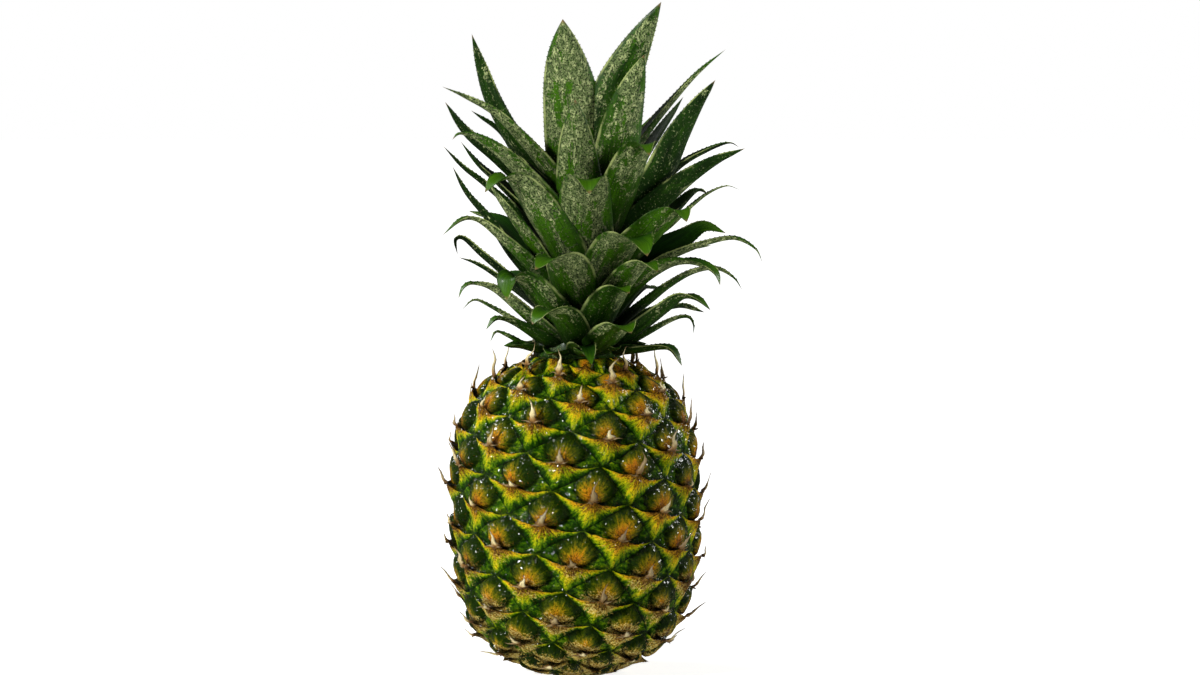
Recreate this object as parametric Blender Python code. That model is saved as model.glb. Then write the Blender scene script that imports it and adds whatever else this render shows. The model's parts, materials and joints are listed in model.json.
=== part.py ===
"""A ripe pineapple standing on its cut base: the fruit with its eyes, bracts and dry spines,
the leafy crown, and the cut end of the stalk.

Z is up, the origin is the middle of the flat foot, and the side with the crown's broad
leaves faces -Y. Lengths are in millimetres and are turned to metres when a mesh is made.
"""

import math
import random

import bmesh
import bpy
import numpy as np

MM = 0.001

# the fruit's outline is a superellipse round the Z axis, with a different upper and lower half
FRUIT_RADIUS = 61.0
EQUATOR_HEIGHT = 79.2
UPPER_HALF_HEIGHT = 70.5
LOWER_HALF_HEIGHT = 80.0
OUTLINE_POWER = 2.9
SHOULDER_HEIGHT = 148.6

# the eyes follow one spiral: every eye turns on by the golden angle and sits one step lower
GOLDEN_ANGLE = math.radians(137.508)
EYE_STEP = 1.38
FIRST_EYE_ARC = -8.6
FIRST_EYE_TURN = math.radians(4.8)
FRONT_SPREAD = 0.12
SPREAD_CENTRE = math.radians(-26)
TOP_EYE = -66
BOTTOM_EYE = 76
STEEP_ROWS = 8
GENTLE_ROWS = 13
STEEP_TURN = -(STEEP_ROWS * GOLDEN_ANGLE - 3 * 2 * math.pi)
GENTLE_TURN = -(GENTLE_ROWS * GOLDEN_ANGLE - 5 * 2 * math.pi)
CUTS_PER_EYE = 4

# each eye is a three-ridged bract over a low dome
BRACT_HEIGHT = 4.8
DOME_HEIGHT = 2.8
LIP_OVERHANG = 0.34

SPINE_WIDTH = 2.4
SPINE_ROOT_DEPTH = 1.6
SPINE_SIDES = 3

# the cut end of the stalk lies in a shallow recess under the fruit
STALK_RADIUS = 12.0
STALK_DEPTH = 5.0
CONTACT_GAP = 0.3

# the crown's stem leans a little to the right
STEM_BASE_RADIUS = 21.0
STEM_TOP_RADIUS = 5.0
STEM_TOP_HEIGHT = 214.0
STEM_BASE_SHIFT = 1.5
STEM_LEAN = 0.125
STEM_SIDES = 14

BLADE_THICKNESS = 1.5
EXTRA_STATIONS = 2
MIDRIB_DIP = 0.45
WIDE_BLADE = 19.5
HIDDEN_LEAVES = 25
COLLAR_LEAVES = 11
COLLAR_ROOT = (151.2, 15.0)

FRUIT_COLOUR = (0.33, 0.25, 0.05)
LEAF_COLOUR = (0.09, 0.16, 0.04)
STALK_COLOUR = (0.42, 0.33, 0.18)

# name, width, taper, facing, twist (degrees), then the midrib's points from root to tip
FRONT_LEAVES = [
    ("tall_left", 30, 4.5, -93, 0, [
        (8, 1, 208), (2, -3, 235), (-1, -6, 262), (-4, -9, 285), (-5.5, -14, 305.5),
    ]),
    ("short_left", 23, 4.0, -93, 0, [
        (8, -6, 190), (3, -17, 220), (1, -25, 245), (0.5, -36, 268.5),
    ]),
    ("short_right", 23, 4.0, -72, 0, [
        (12, -2, 205), (18, -9, 232), (23, -14, 259), (28, -17, 277), (32, -22, 289),
    ]),
    ("tall_right", 25, 3.5, -78, 0, [
        (12, 1, 208), (13, -2, 240), (18, -5, 268), (27.5, -8, 290), (40, -12, 313.5),
    ]),
    ("right_hood", 22, 5.0, -60, 0, [
        (13, -7, 196), (18, -17, 216), (24, -27, 234), (29, -37, 246), (32, -47, 248),
        (34, -52, 243),
    ]),
    ("middle_hood", 25, 6.0, -86, 0, [
        (8, -8, 182), (6, -20, 203), (5, -32, 220), (5.5, -44, 231.5), (6.5, -53, 232),
        (7, -57, 226),
    ]),
    ("left_hood", 23, 5.0, -100, 0, [
        (4, -12, 163), (0, -25, 180), (-3, -37, 191.5), (-7, -48, 197), (-13, -56, 196.5),
        (-17.5, -60, 192),
    ]),
    ("low_hood", 24, 5.0, -76, 0, [
        (9, -9, 177), (15, -22, 191), (21, -36, 202.5), (26, -47, 206.5), (31, -56, 204),
        (33, -60, 198),
    ]),
    ("scale_left", 17, 5.0, -105, 0, [
        (2, -16, 151), (-1, -27, 161.5), (-5, -37, 170), (-10, -46, 173.5), (-15.5, -52, 172),
        (-19, -54, 167),
    ]),
    ("scale_right", 20, 5.0, -66, 0, [
        (8, -13, 156), (12, -26, 169), (17, -38, 179), (21, -47, 183.5), (25, -53, 181),
    ]),
    ("scale_low", 20, 6.0, -66, 0, [
        (9, -15, 151), (14, -28, 157.5), (19, -39, 164), (22, -47, 166.5), (26, -53, 163),
    ]),
    ("shelf_right", 18, 5.0, -56, 0, [
        (12, -12, 168), (20, -25, 181), (27, -36, 190.5), (33, -43, 194.5), (38, -49, 190.5),
    ]),
    ("shield_right", 23, 5.5, -60, 0, [
        (14, -9, 184), (25, -21, 197), (35, -31, 208), (43, -38, 216), (48, -44, 218.5),
        (51, -48, 213),
    ]),
    ("hanging", 12, 3.0, -75, 0, [
        (0, -18, 151.5), (3, -30, 156), (6, -40, 155), (8, -47, 148),
    ]),
]
LEFT_LEAVES = [
    ("l01", 20, 2.4, 178, 65, [
        (6, 2, 216), (-12, 1, 235), (-28, 0, 249), (-38.5, 0, 267), (-44, 0, 284), (-48, -1, 299),
    ]),
    ("l02", 22, 1.5, 200, 10, [
        (5, -3, 208), (-7, -6, 228), (-20, -8, 245), (-33, -9, 259), (-41, -9, 265),
        (-52, -9, 270.5), (-61.5, -9, 274.5),
    ]),
    ("l03", 20, 3.0, 170, 40, [
        (3, 2, 201), (-19, 5, 224), (-37, 7, 241), (-51, 8, 253), (-61, 8, 267.5),
    ]),
    ("l04", 20, 3.0, 160, 20, [
        (4, 5, 205), (-12, 9, 225), (-26, 12, 241), (-35, 13, 254), (-49, 13, 263.5),
    ]),
    ("l05", 22, 3.0, 215, 0, [
        (3, -4, 190), (-3, -7, 203), (-10, -10, 215), (-22, -13, 231), (-34, -15, 243.5),
        (-46, -16, 251.5), (-53, -17, 253), (-56.5, -17, 250),
    ]),
    ("l06", 18, 2.5, 172, 15, [
        (1, 2, 188), (-20, 4, 210), (-41, 6, 228.5), (-52, 7, 237), (-62, 7, 247),
    ]),
    ("l07", 20, 2.5, 155, 15, [
        (2, 6, 192), (-18, 9, 213), (-36, 12, 230), (-45, 13, 238), (-54, 13, 249),
    ]),
    ("l08", 20, 2.5, 180, 15, [
        (0, 1, 168), (-15, 2, 181), (-29, 3, 196), (-40.5, 4, 213), (-50.5, 4, 225),
        (-57.5, 4, 237.5),
    ]),
    ("l09", 17, 3.0, 205, 0, [
        (0, -3, 168), (-11, -7, 187), (-22.5, -10, 205), (-33, -12, 220), (-40, -12, 230),
    ]),
    ("l10", 24, 4.0, 235, 0, [
        (3, -10, 177), (-4, -18, 196), (-13, -24, 212), (-22, -28, 226), (-29, -31, 233),
        (-36, -33, 232), (-41, -34, 226),
    ]),
    ("l11", 18, 2.0, 208, 0, [
        (0, -5, 165), (-10, -9, 178), (-20, -13, 191), (-34, -17, 205), (-44, -19, 213),
        (-52, -20, 213.5), (-61, -20, 206),
    ]),
    ("l12", 18, 2.5, 180, 10, [
        (-2, 0, 160), (-18, 1, 174), (-32, 1, 187), (-44, 1, 197), (-52, 1, 204), (-56, 1, 203),
        (-55, 1, 196),
    ]),
    ("l13", 16, 2.0, 168, 20, [
        (-2, 4, 159), (-18, 7, 172.5), (-36, 9, 185.5), (-46, 10, 191.5), (-55, 10, 194.5),
    ]),
    ("l14", 17, 2.0, 215, 0, [
        (-1, -10, 152), (-11, -15, 159), (-22, -20, 169), (-36, -24, 181), (-46, -26, 184.5),
        (-51, -27, 182.5), (-53.5, -27, 177),
    ]),
    ("l15", 13, 1.6, 186, 0, [
        (-4, -2, 151), (-14, -3, 157), (-25, -4, 164), (-39, -5, 172.5), (-47, -5, 175.4),
        (-53, -5, 170.5),
    ]),
    ("l16", 16, 2.5, 212, 0, [
        (-4, -8, 151), (-14, -14, 157), (-27, -19, 165.5), (-36, -22, 168), (-41, -23, 162.5),
    ]),
    ("l17", 11, 1.8, 196, 0, [
        (-8, -5, 151), (-15, -7, 152.5), (-22, -9, 154), (-30.5, -11, 159), (-36.5, -12, 161),
        (-39.4, -13, 156),
    ]),
    ("l18", 22, 5.0, 230, 0, [
        (0, -11, 153), (-8, -20, 167), (-16, -27, 178), (-23, -31, 186), (-30, -33, 187),
        (-31, -34, 177),
    ]),
]
RIGHT_LEAVES = [
    ("r02", 20, 1.8, 8, 0, [
        (13, 2, 209), (22, 3, 235), (33, 4, 253), (46, 5, 269), (58, 5, 282), (70.5, 5, 292),
    ]),
    ("r02b", 16, 3.0, 25, 0, [
        (12, 6, 203), (30, 11, 238), (51, 15, 270),
    ]),
    ("r03", 22, 4.0, -45, 0, [
        (14, 0, 199), (29, -5, 218), (40.5, -8, 234), (48.5, -10, 251), (57, -12, 266),
        (65, -14, 277.5),
    ]),
    ("r04", 18, 2.2, 10, 0, [
        (14, 4, 196), (30, 7, 219), (48, 9, 237), (61.5, 9, 245), (72, 9, 248.5), (77.5, 9, 246),
    ]),
    ("r05", 21, 3.0, -48, 0, [
        (14, -3, 191), (30, -7, 211), (44.5, -10, 225), (55, -11, 233.5), (67, -12, 241),
        (79, -12, 246),
    ]),
    ("r06", 10, 1.8, 5, 0, [
        (15, 2, 186), (30, 3, 199), (44.6, 4, 210), (52, 4, 217), (61.5, 5, 224.5), (71, 5, 228.3),
        (78, 5, 226),
    ]),
    ("r06b", 18, 4.0, 25, 0, [
        (14, 6, 188), (32, 12, 205), (46, 16, 216), (57, 18, 226), (63, 19, 224),
    ]),
    ("r07", 18, 2.2, 8, 80, [
        (15, 2, 176), (35, 5, 194.5), (50.5, 7, 203), (60.5, 8, 209), (71, 8, 206),
    ]),
    ("r08", 18, 1.6, -8, 0, [
        (16, -3, 174), (28, -5, 185), (40, -7, 194), (50, -8, 198.5), (61.5, -8, 202.5),
        (74.5, -8, 204.5), (84, -8, 199.5), (87.5, -8, 192.5),
    ]),
    ("r09", 19, 3.0, -38, 0, [
        (15, -8, 166), (27, -15, 182), (40, -20, 191.5), (50, -23, 194.5), (59, -25, 193),
        (65, -26, 189), (67, -27, 183),
    ]),
    ("r10", 17, 1.8, -10, 0, [
        (15, -2, 158), (25, -4, 168), (35, -6, 176), (44, -7, 183), (55, -8, 189), (66, -8, 190.5),
        (74, -8, 186), (78, -8, 180),
    ]),
    ("r11", 17, 3.0, -38, 0, [
        (14, -8, 152), (24, -14, 159), (33, -18, 165.5), (42, -21, 172.5), (49.7, -23, 178),
        (56.8, -24, 177), (62.8, -25, 171.5),
    ]),
    ("r12", 13, 1.8, -10, 0, [
        (16, -1, 151), (24, -3, 155), (33, -5, 160), (43.6, -7, 165.8), (50, -8, 168),
        (54, -8, 167), (55.5, -8, 163), (54.9, -8, 159),
    ]),
    ("r13", 12, 3.5, -25, 0, [
        (16, -8, 150.8), (23, -12, 152), (30, -15, 153), (40, -19, 154.5), (45.5, -21, 153),
        (49.7, -22, 145.5),
    ]),
]


def clear_scene():
    for item in list(bpy.data.objects):
        bpy.data.objects.remove(item, do_unlink=True)


def make_collection(name):
    group = bpy.data.collections.new(name)
    bpy.context.scene.collection.children.link(group)
    return group


def make_material(name, colour, roughness):
    material = bpy.data.materials.new(name)
    material.use_nodes = True
    surface = material.node_tree.nodes["Principled BSDF"]
    surface.inputs["Base Color"].default_value = (*colour, 1.0)
    surface.inputs["Roughness"].default_value = roughness
    surface.inputs["Metallic"].default_value = 0.0
    return material


def make_object(name, points, faces, group):
    """A mesh object from points in millimetres."""
    mesh = bpy.data.meshes.new(name)
    mesh.from_pydata([[c * MM for c in point] for point in points], [], faces)
    mesh.update()
    item = bpy.data.objects.new(name, mesh)
    group.objects.link(item)
    return item


def outline_table(count=4001):
    """Arc length (0 at the equator, growing downwards), radius and height along the fruit's outline."""
    angle = np.linspace(math.pi / 2, -math.pi / 2, count)
    sine = np.sin(angle)
    cosine = np.clip(np.cos(angle), 0.0, None)
    half = np.where(sine > 0, UPPER_HALF_HEIGHT, LOWER_HALF_HEIGHT)
    height = EQUATOR_HEIGHT + half * np.sign(sine) * np.abs(sine) ** (2 / OUTLINE_POWER)
    radius = FRUIT_RADIUS * cosine ** (2 / OUTLINE_POWER)
    arc = np.concatenate([[0.0], np.cumsum(np.hypot(np.diff(radius), np.diff(height)))])
    return arc - arc[count // 2], radius, height


ARC, ARC_RADIUS, ARC_HEIGHT = outline_table()


def outline_at(arc):
    """Radius, height and outward normal (radial, up) of the fruit's outline."""
    step = 0.5
    radius, height = (np.interp(arc, ARC, values) for values in (ARC_RADIUS, ARC_HEIGHT))
    across = np.interp(arc + step, ARC, ARC_RADIUS) - np.interp(arc - step, ARC, ARC_RADIUS)
    down = np.interp(arc + step, ARC, ARC_HEIGHT) - np.interp(arc - step, ARC, ARC_HEIGHT)
    size = math.hypot(across, down)
    return radius, height, -down / size, across / size


def lattice_place(steep, gentle):
    """Turn from the front and arc length of a spot counted in steps along the two rows of eyes."""
    arc = FIRST_EYE_ARC + EYE_STEP * (STEEP_ROWS * steep + GENTLE_ROWS * gentle)
    turn = FIRST_EYE_TURN + STEEP_TURN * steep + GENTLE_TURN * gentle
    return turn + FRONT_SPREAD * math.sin(turn - SPREAD_CENTRE), arc


def surface_point(turn, arc, lift):
    radius, height, radial, up = outline_at(arc)
    radius = max(radius + radial * lift, 0.0)
    return radius * math.sin(turn), -radius * math.cos(turn), height + up * lift


def eye_relief(down, right, size):
    """Depth below the outline at a spot in an eye, with both coordinates from -1 to 1 at its corners."""
    inside = max(1.0 - abs(down) - abs(right), 0.0)
    if down >= 0:
        hollow = min(down, abs(right)) * 0.8
        height = BRACT_HEIGHT * size * inside * (1 - hollow)
    else:
        height = DOME_HEIGHT * size * (1 - (1 - inside) ** 2)
    return height - BRACT_HEIGHT


def end_fade(arc):
    """1 over the fruit's sides, falling to 0 on its foot and under the crown."""
    height = np.interp(arc, ARC, ARC_HEIGHT)
    radius = np.interp(arc, ARC, ARC_RADIUS)
    if height > EQUATOR_HEIGHT:
        return min(max((radius - 20.0) / 7.0, 0.0), 1.0)
    return min(max((radius - 20.0) / 14.0, 0.0), 1.0)


def eye_size(steep, gentle):
    return 0.88 + 0.24 * random.Random(STEEP_ROWS * steep + GENTLE_ROWS * gentle).random()


def fruit_point(steep_cut, gentle_cut):
    """A vertex of the fruit, at a whole number of cuts along the rows of eyes."""
    steep_eye = round(steep_cut / CUTS_PER_EYE)
    gentle_eye = round(gentle_cut / CUTS_PER_EYE)
    steep = steep_cut / CUTS_PER_EYE - steep_eye
    gentle = gentle_cut / CUTS_PER_EYE - gentle_eye
    down, right = steep + gentle, gentle - steep
    relief = eye_relief(down, right, eye_size(steep_eye, gentle_eye))
    if down < 0:
        shift = LIP_OVERHANG * max(1.0 - abs(down) - abs(right), 0.0) / 2
        steep += shift / 2
        gentle += shift / 2
    turn, arc = lattice_place(steep_eye + steep, gentle_eye + gentle)
    x, y, z = surface_point(turn, arc, relief * end_fade(arc))
    return x, y, min(max(z, 0.0), SHOULDER_HEIGHT)


def fruit_faces():
    """Vertices and triangles of the fruit: the cells between two zigzag rings, and a fan at each end."""
    steep_count = GENTLE_ROWS * CUTS_PER_EYE
    gentle_shift = STEEP_ROWS * CUTS_PER_EYE
    number, points, faces = {}, [], []

    def vertex(steep_cut, gentle_cut):
        laps = steep_cut // steep_count
        key = (steep_cut - laps * steep_count, gentle_cut + laps * gentle_shift)
        if key not in number:
            number[key] = len(points)
            points.append(fruit_point(*key))
        return number[key]

    for steep_cut in range(steep_count):
        first = math.ceil((TOP_EYE * CUTS_PER_EYE - STEEP_ROWS * steep_cut) / GENTLE_ROWS)
        last = math.ceil((BOTTOM_EYE * CUTS_PER_EYE - STEEP_ROWS * steep_cut) / GENTLE_ROWS)
        for gentle_cut in range(first, last):
            a = vertex(steep_cut, gentle_cut)
            b = vertex(steep_cut + 1, gentle_cut)
            c = vertex(steep_cut + 1, gentle_cut + 1)
            d = vertex(steep_cut, gentle_cut + 1)
            # the split follows the bract's keel where a cell lies on it, and its side ridges elsewhere
            on_keel = (steep_cut - gentle_cut) % CUTS_PER_EYE == 0
            if on_keel:
                faces += [(a, b, c), (a, c, d)]
            else:
                faces += [(a, b, d), (b, c, d)]
    return points, faces


def close_ends(mesh):
    """Fan each open ring of the fruit to a pole in the middle of its flat end."""
    work = bmesh.new()
    work.from_mesh(mesh)
    open_edges = [edge for edge in work.edges if edge.is_boundary]
    for top in (True, False):
        ring = [edge for edge in open_edges if (edge.verts[0].co.z > EQUATOR_HEIGHT * MM) == top]
        pole = work.verts.new((0.0, 0.0, ring[0].verts[0].co.z))
        for edge in ring:
            work.faces.new((*edge.verts, pole))
    bmesh.ops.recalc_face_normals(work, faces=work.faces)
    work.to_mesh(mesh)
    work.free()


def spine_solid(name, steep, gentle, group):
    """A dry, curved, three-sided spine from the tip of one bract."""
    chance = random.Random(1000 + STEEP_ROWS * steep + GENTLE_ROWS * gentle)
    turn, arc = lattice_place(steep, gentle)
    apex_lift = BRACT_HEIGHT * (eye_size(steep, gentle) - 1)
    base = np.array(surface_point(turn, arc, apex_lift - SPINE_ROOT_DEPTH))
    radius, height, radial, up = outline_at(arc)
    out = np.array([radial * math.sin(turn), -radial * math.cos(turn), up])
    side = np.array([math.cos(turn), math.sin(turn), 0.0])
    rise = np.cross(side, out)
    if rise[2] < 0:
        rise = -rise
    length = chance.uniform(8.0, 12.5)
    sway = chance.uniform(-0.45, 0.45)
    spread = chance.uniform(0.3, 0.62)
    joints = [base]
    bends = ((0.06, 0.22, 0.0), (0.45 * spread, 0.55, 0.3 * sway), (spread, 0.95, sway))
    for outward, upward, sideways in bends:
        step = out * outward + rise * upward + side * sideways
        joints.append(base + out * SPINE_ROOT_DEPTH + step * length)
    widths = [SPINE_WIDTH, SPINE_WIDTH * 0.85, SPINE_WIDTH * 0.5]
    points, faces = [], []
    for joint, width in zip(joints, widths):
        for corner in range(SPINE_SIDES):
            angle = math.radians(90 + 120 * corner)
            points.append(joint + side * math.cos(angle) * width / 2 + out * math.sin(angle) * width * 0.35)
    points.append(joints[-1])
    tip = len(points) - 1
    faces.append((2, 1, 0))
    for ring in range(len(widths) - 1):
        for corner in range(SPINE_SIDES):
            a = ring * SPINE_SIDES + corner
            b = ring * SPINE_SIDES + (corner + 1) % SPINE_SIDES
            faces += [(a, b, b + SPINE_SIDES), (a, b + SPINE_SIDES, a + SPINE_SIDES)]
    last = (len(widths) - 1) * SPINE_SIDES
    for corner in range(SPINE_SIDES):
        faces.append((last + corner, last + (corner + 1) % SPINE_SIDES, tip))
    item = make_object(name, points, faces, group)
    face_outwards(item.data)
    return item


def face_outwards(mesh):
    work = bmesh.new()
    work.from_mesh(mesh)
    bmesh.ops.recalc_face_normals(work, faces=work.faces)
    work.to_mesh(mesh)
    work.free()


def smooth_path(points, count):
    """Spots at equal steps along a smooth curve through the given points, with their directions."""
    given = np.array(points, dtype=float)
    padded = np.vstack([2 * given[0] - given[1], given, 2 * given[-1] - given[-2]])
    fine = []
    for a, b, c, d in zip(padded, padded[1:], padded[2:], padded[3:]):
        for s in np.linspace(0, 1, 24, endpoint=False):
            bend = (2 * a - 5 * b + 4 * c - d) * s**2 + (3 * b - a - 3 * c + d) * s**3
            fine.append((2 * b + (c - a) * s + bend) / 2)
    fine.append(given[-1])
    fine = np.array(fine)
    run = np.concatenate([[0.0], np.cumsum(np.linalg.norm(np.diff(fine, axis=0), axis=1))])

    def at(distance):
        return np.column_stack([np.interp(np.clip(distance, 0, run[-1]), run, fine[:, k]) for k in range(3)])

    along = np.linspace(0, run[-1], count)
    direction = at(along + 1.5) - at(along - 1.5)
    direction /= np.linalg.norm(direction, axis=1)[:, None]
    return at(along), direction, along / run[-1]


def blade_frame(leaf, count):
    """Midrib spots, the sideways and inward directions, half widths and cupping of one leaf."""
    name, width, taper, facing, twist, points = leaf
    spots, direction, t = smooth_path(points, count)
    angle = math.radians(facing)
    flat = np.array([-math.sin(angle), math.cos(angle), 0.0])
    side = flat - direction * (direction @ flat)[:, None]
    side /= np.linalg.norm(side, axis=1)[:, None]
    inward = np.cross(direction, side)
    turn = np.radians(twist) * t
    cosine, sine = np.cos(turn)[:, None], np.sin(turn)[:, None]
    side, inward = side * cosine + inward * sine, inward * cosine - side * sine
    widening = np.clip(t / 0.35, 0, 1)
    widening = 0.75 + 0.25 * widening**2 * (3 - 2 * widening)
    half = width / 2 * widening * (1 - t**taper)
    cup = 0.34 + 0.2 * (1 - t)
    return spots, side, inward, half, cup


def blade_solid(leaf, group):
    """A cupped, pointed leaf: thick along its midrib and sharp at both edges."""
    spots, side, inward, half, cup = blade_frame(leaf, len(leaf[-1]) + EXTRA_STATIONS)
    inner = (-0.4, 0.4) if leaf[1] >= WIDE_BLADE else (0.0,)
    columns = [(-1.0, 0.0)] + [(u, 1.0) for u in inner] + [(1.0, 0.0)] + [(u, -1.0) for u in reversed(inner)]
    count = len(columns)
    points, faces = [], []
    for spot, across, into, wide, bend in zip(spots[:-1], side, inward, half, cup):
        for u, layer in columns:
            lift = wide * bend * (u * u - MIDRIB_DIP) + layer * BLADE_THICKNESS / 2
            points.append(spot + across * wide * u + into * lift)
    points.append(spots[-1])
    tip = len(points) - 1
    rings = len(spots) - 1
    for ring in range(rings - 1):
        for column in range(count):
            a = ring * count + column
            b = ring * count + (column + 1) % count
            # both faces are split the same way, so a curled blade never crosses itself
            if column < count // 2:
                faces += [(a, b, b + count), (a, b + count, a + count)]
            else:
                faces += [(a, b, a + count), (b, b + count, a + count)]
    last = (rings - 1) * count
    for column in range(count):
        faces.append((last + column, last + (column + 1) % count, tip))
    # the root is closed by a strip between the two faces, because its outline is a crescent
    faces.append((0, 1, count - 1))
    for column in range(1, count // 2 - 1):
        faces += [(column, column + 1, count - column), (column + 1, count - column - 1, count - column)]
    faces.append((count // 2 - 1, count // 2, count // 2 + 1))
    item = make_object("leaf_" + leaf[0], points, faces, group)
    face_outwards(item.data)
    return item


def stem_centre(height):
    return STEM_BASE_SHIFT + STEM_LEAN * (height - SHOULDER_HEIGHT)


def stem_solid(group):
    """The crown's short stem, flat below and leaning a little to the right."""
    base_height = SHOULDER_HEIGHT + CONTACT_GAP
    heights = [base_height, base_height + 8, base_height + 28, base_height + 48, STEM_TOP_HEIGHT]
    radii = [STEM_BASE_RADIUS, 19.0, 14.0, 9.5, STEM_TOP_RADIUS]
    points, faces = [], []
    for height, radius in zip(heights, radii):
        for corner in range(STEM_SIDES):
            angle = 2 * math.pi * corner / STEM_SIDES
            x = stem_centre(height) + radius * math.cos(angle)
            points.append((x, radius * math.sin(angle), height))
    for ring in range(len(heights) - 1):
        for corner in range(STEM_SIDES):
            a = ring * STEM_SIDES + corner
            b = ring * STEM_SIDES + (corner + 1) % STEM_SIDES
            faces.append((a, b, b + STEM_SIDES, a + STEM_SIDES))
    faces.append(tuple(reversed(range(STEM_SIDES))))
    faces.append(tuple(range(len(points) - STEM_SIDES, len(points))))
    return make_object("crown", points, faces, group)


def ruled_leaf(name, chance, facing, root, length, slopes, width, steps):
    """A leaf from its root's height and reach. Its slope (degrees) falls off more and more to the tip."""
    heading = math.radians(facing)
    height, reach = root
    rise, fall = slopes
    centre = stem_centre(height)
    points = []
    for step in range(steps):
        share = step / (steps - 1)
        points.append((centre + reach * math.cos(heading), reach * math.sin(heading), height))
        slope = math.radians(rise - fall * share**2)
        reach += length / (steps - 1) * math.cos(slope)
        height += length / (steps - 1) * math.sin(slope)
    return name, width, 2.6, facing, chance.uniform(-12, 12), points


def hidden_leaves():
    """Leaves round the back, from the low outer ones to the steep inner ones."""
    leaves = []
    for index in range(HIDDEN_LEAVES):
        level = index / (HIDDEN_LEAVES - 1)
        chance = random.Random(500 + index)
        side = 2 * ((index * 0.618) % 1.0) - 1
        facing = 87 + (62 - 22 * level) * side + chance.uniform(-4, 4)
        length = (46 + 42 * math.sin(math.pi * (0.08 + 0.8 * level))) * chance.uniform(0.92, 1.06)
        root = (151.5 + 52 * level, 14 - 9 * level)
        slopes = (36 + 40 * level, 88 - 66 * level + chance.uniform(-8, 12))
        width = 17 + 5 * math.sin(math.pi * level)
        leaves.append(ruled_leaf(f"back_{index:02d}", chance, facing, root, length, slopes, width, 5))
    return leaves


def collar_leaves():
    """Short leaves that close the foot of the crown all round."""
    leaves = []
    for index in range(COLLAR_LEAVES):
        chance = random.Random(900 + index)
        facing = 12 + 360 * index / COLLAR_LEAVES + chance.uniform(-7, 7)
        length = chance.uniform(18, 23)
        slopes = (chance.uniform(8, 18), 42)
        leaves.append(ruled_leaf(f"collar_{index:02d}", chance, facing, COLLAR_ROOT, length, slopes, 16, 4))
    return leaves


def join_collection(target, group, solver):
    """One union of the target with everything in the collection, applied."""
    union = target.modifiers.new("union", "BOOLEAN")
    union.operation = "UNION"
    union.operand_type = "COLLECTION"
    union.collection = group
    union.solver = solver
    apply_modifiers(target)
    for item in list(group.objects):
        bpy.data.objects.remove(item, do_unlink=True)
    bpy.data.collections.remove(group)


def apply_modifiers(item):
    context = bpy.context.evaluated_depsgraph_get()
    mesh = bpy.data.meshes.new_from_object(item.evaluated_get(context))
    item.modifiers.clear()
    item.data = mesh


def keep_one_shell(mesh):
    """Drop sealed pockets and loose scraps that a union leaves, and any needle-thin edge."""
    work = bmesh.new()
    work.from_mesh(mesh)
    bmesh.ops.triangulate(work, faces=work.faces)
    bmesh.ops.dissolve_degenerate(work, dist=0.002 * MM, edges=work.edges)
    shells, seen = [], set()
    for start in work.verts:
        if start in seen:
            continue
        seen.add(start)
        stack, shell = [start], []
        while stack:
            point = stack.pop()
            shell.append(point)
            for edge in point.link_edges:
                other = edge.other_vert(point)
                if other not in seen:
                    seen.add(other)
                    stack.append(other)
        shells.append(shell)
    shells.sort(key=len)
    for shell in shells[:-1]:
        bmesh.ops.delete(work, geom=shell, context="VERTS")
    bmesh.ops.triangulate(work, faces=work.faces)
    work.to_mesh(mesh)
    work.free()


def cut_recess(fruit, cutters):
    """The round recess that the stalk's cut end sits in."""
    depth = STALK_DEPTH + CONTACT_GAP
    bpy.ops.mesh.primitive_cylinder_add(
        vertices=32, radius=(STALK_RADIUS + CONTACT_GAP) * MM, depth=2 * depth * MM, location=(0, 0, 0)
    )
    cutter = bpy.context.object
    cutter.name = "recess_cutter"
    for group in list(cutter.users_collection):
        group.objects.unlink(cutter)
    cutters.objects.link(cutter)
    cutter.hide_render = True
    cutter.display_type = "WIRE"
    recess = fruit.modifiers.new("recess", "BOOLEAN")
    recess.operation = "DIFFERENCE"
    recess.object = cutter
    recess.solver = "EXACT"
    apply_modifiers(fruit)
    bpy.data.objects.remove(cutter, do_unlink=True)


def build_fruit(parts, cutters):
    points, faces = fruit_faces()
    fruit = make_object("fruit", points, faces, parts)
    close_ends(fruit.data)
    cut_recess(fruit, cutters)
    spines = make_collection("spines")
    for steep in range(GENTLE_ROWS):
        for gentle in range(-20, 20):
            index = STEEP_ROWS * steep + GENTLE_ROWS * gentle
            turn, arc = lattice_place(steep, gentle)
            height = np.interp(arc, ARC, ARC_HEIGHT)
            if TOP_EYE < index < BOTTOM_EYE and 10 < height < 139 and index % 2 == 0:
                spine_solid(f"spine_{index}", steep, gentle, spines)
    join_collection(fruit, spines, "EXACT")
    keep_one_shell(fruit.data)
    fruit.data.materials.clear()
    fruit.data.materials.append(make_material("rind", FRUIT_COLOUR, 0.4))
    return fruit


def build_crown(parts):
    crown = stem_solid(parts)
    leaves = make_collection("leaves")
    for leaf in FRONT_LEAVES + LEFT_LEAVES + RIGHT_LEAVES + hidden_leaves() + collar_leaves():
        blade_solid(leaf, leaves)
    join_collection(crown, leaves, "MANIFOLD")
    keep_one_shell(crown.data)
    crown.data.materials.clear()
    crown.data.materials.append(make_material("leaf", LEAF_COLOUR, 0.5))
    return crown


def build_stalk(parts):
    bpy.ops.mesh.primitive_cylinder_add(
        vertices=32, radius=STALK_RADIUS * MM, depth=STALK_DEPTH * MM, location=(0, 0, STALK_DEPTH * MM / 2)
    )
    stalk = bpy.context.object
    stalk.name = "cut_stalk"
    for group in list(stalk.users_collection):
        group.objects.unlink(stalk)
    parts.objects.link(stalk)
    stalk.data.materials.append(make_material("stalk", STALK_COLOUR, 0.8))
    return stalk


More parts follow.
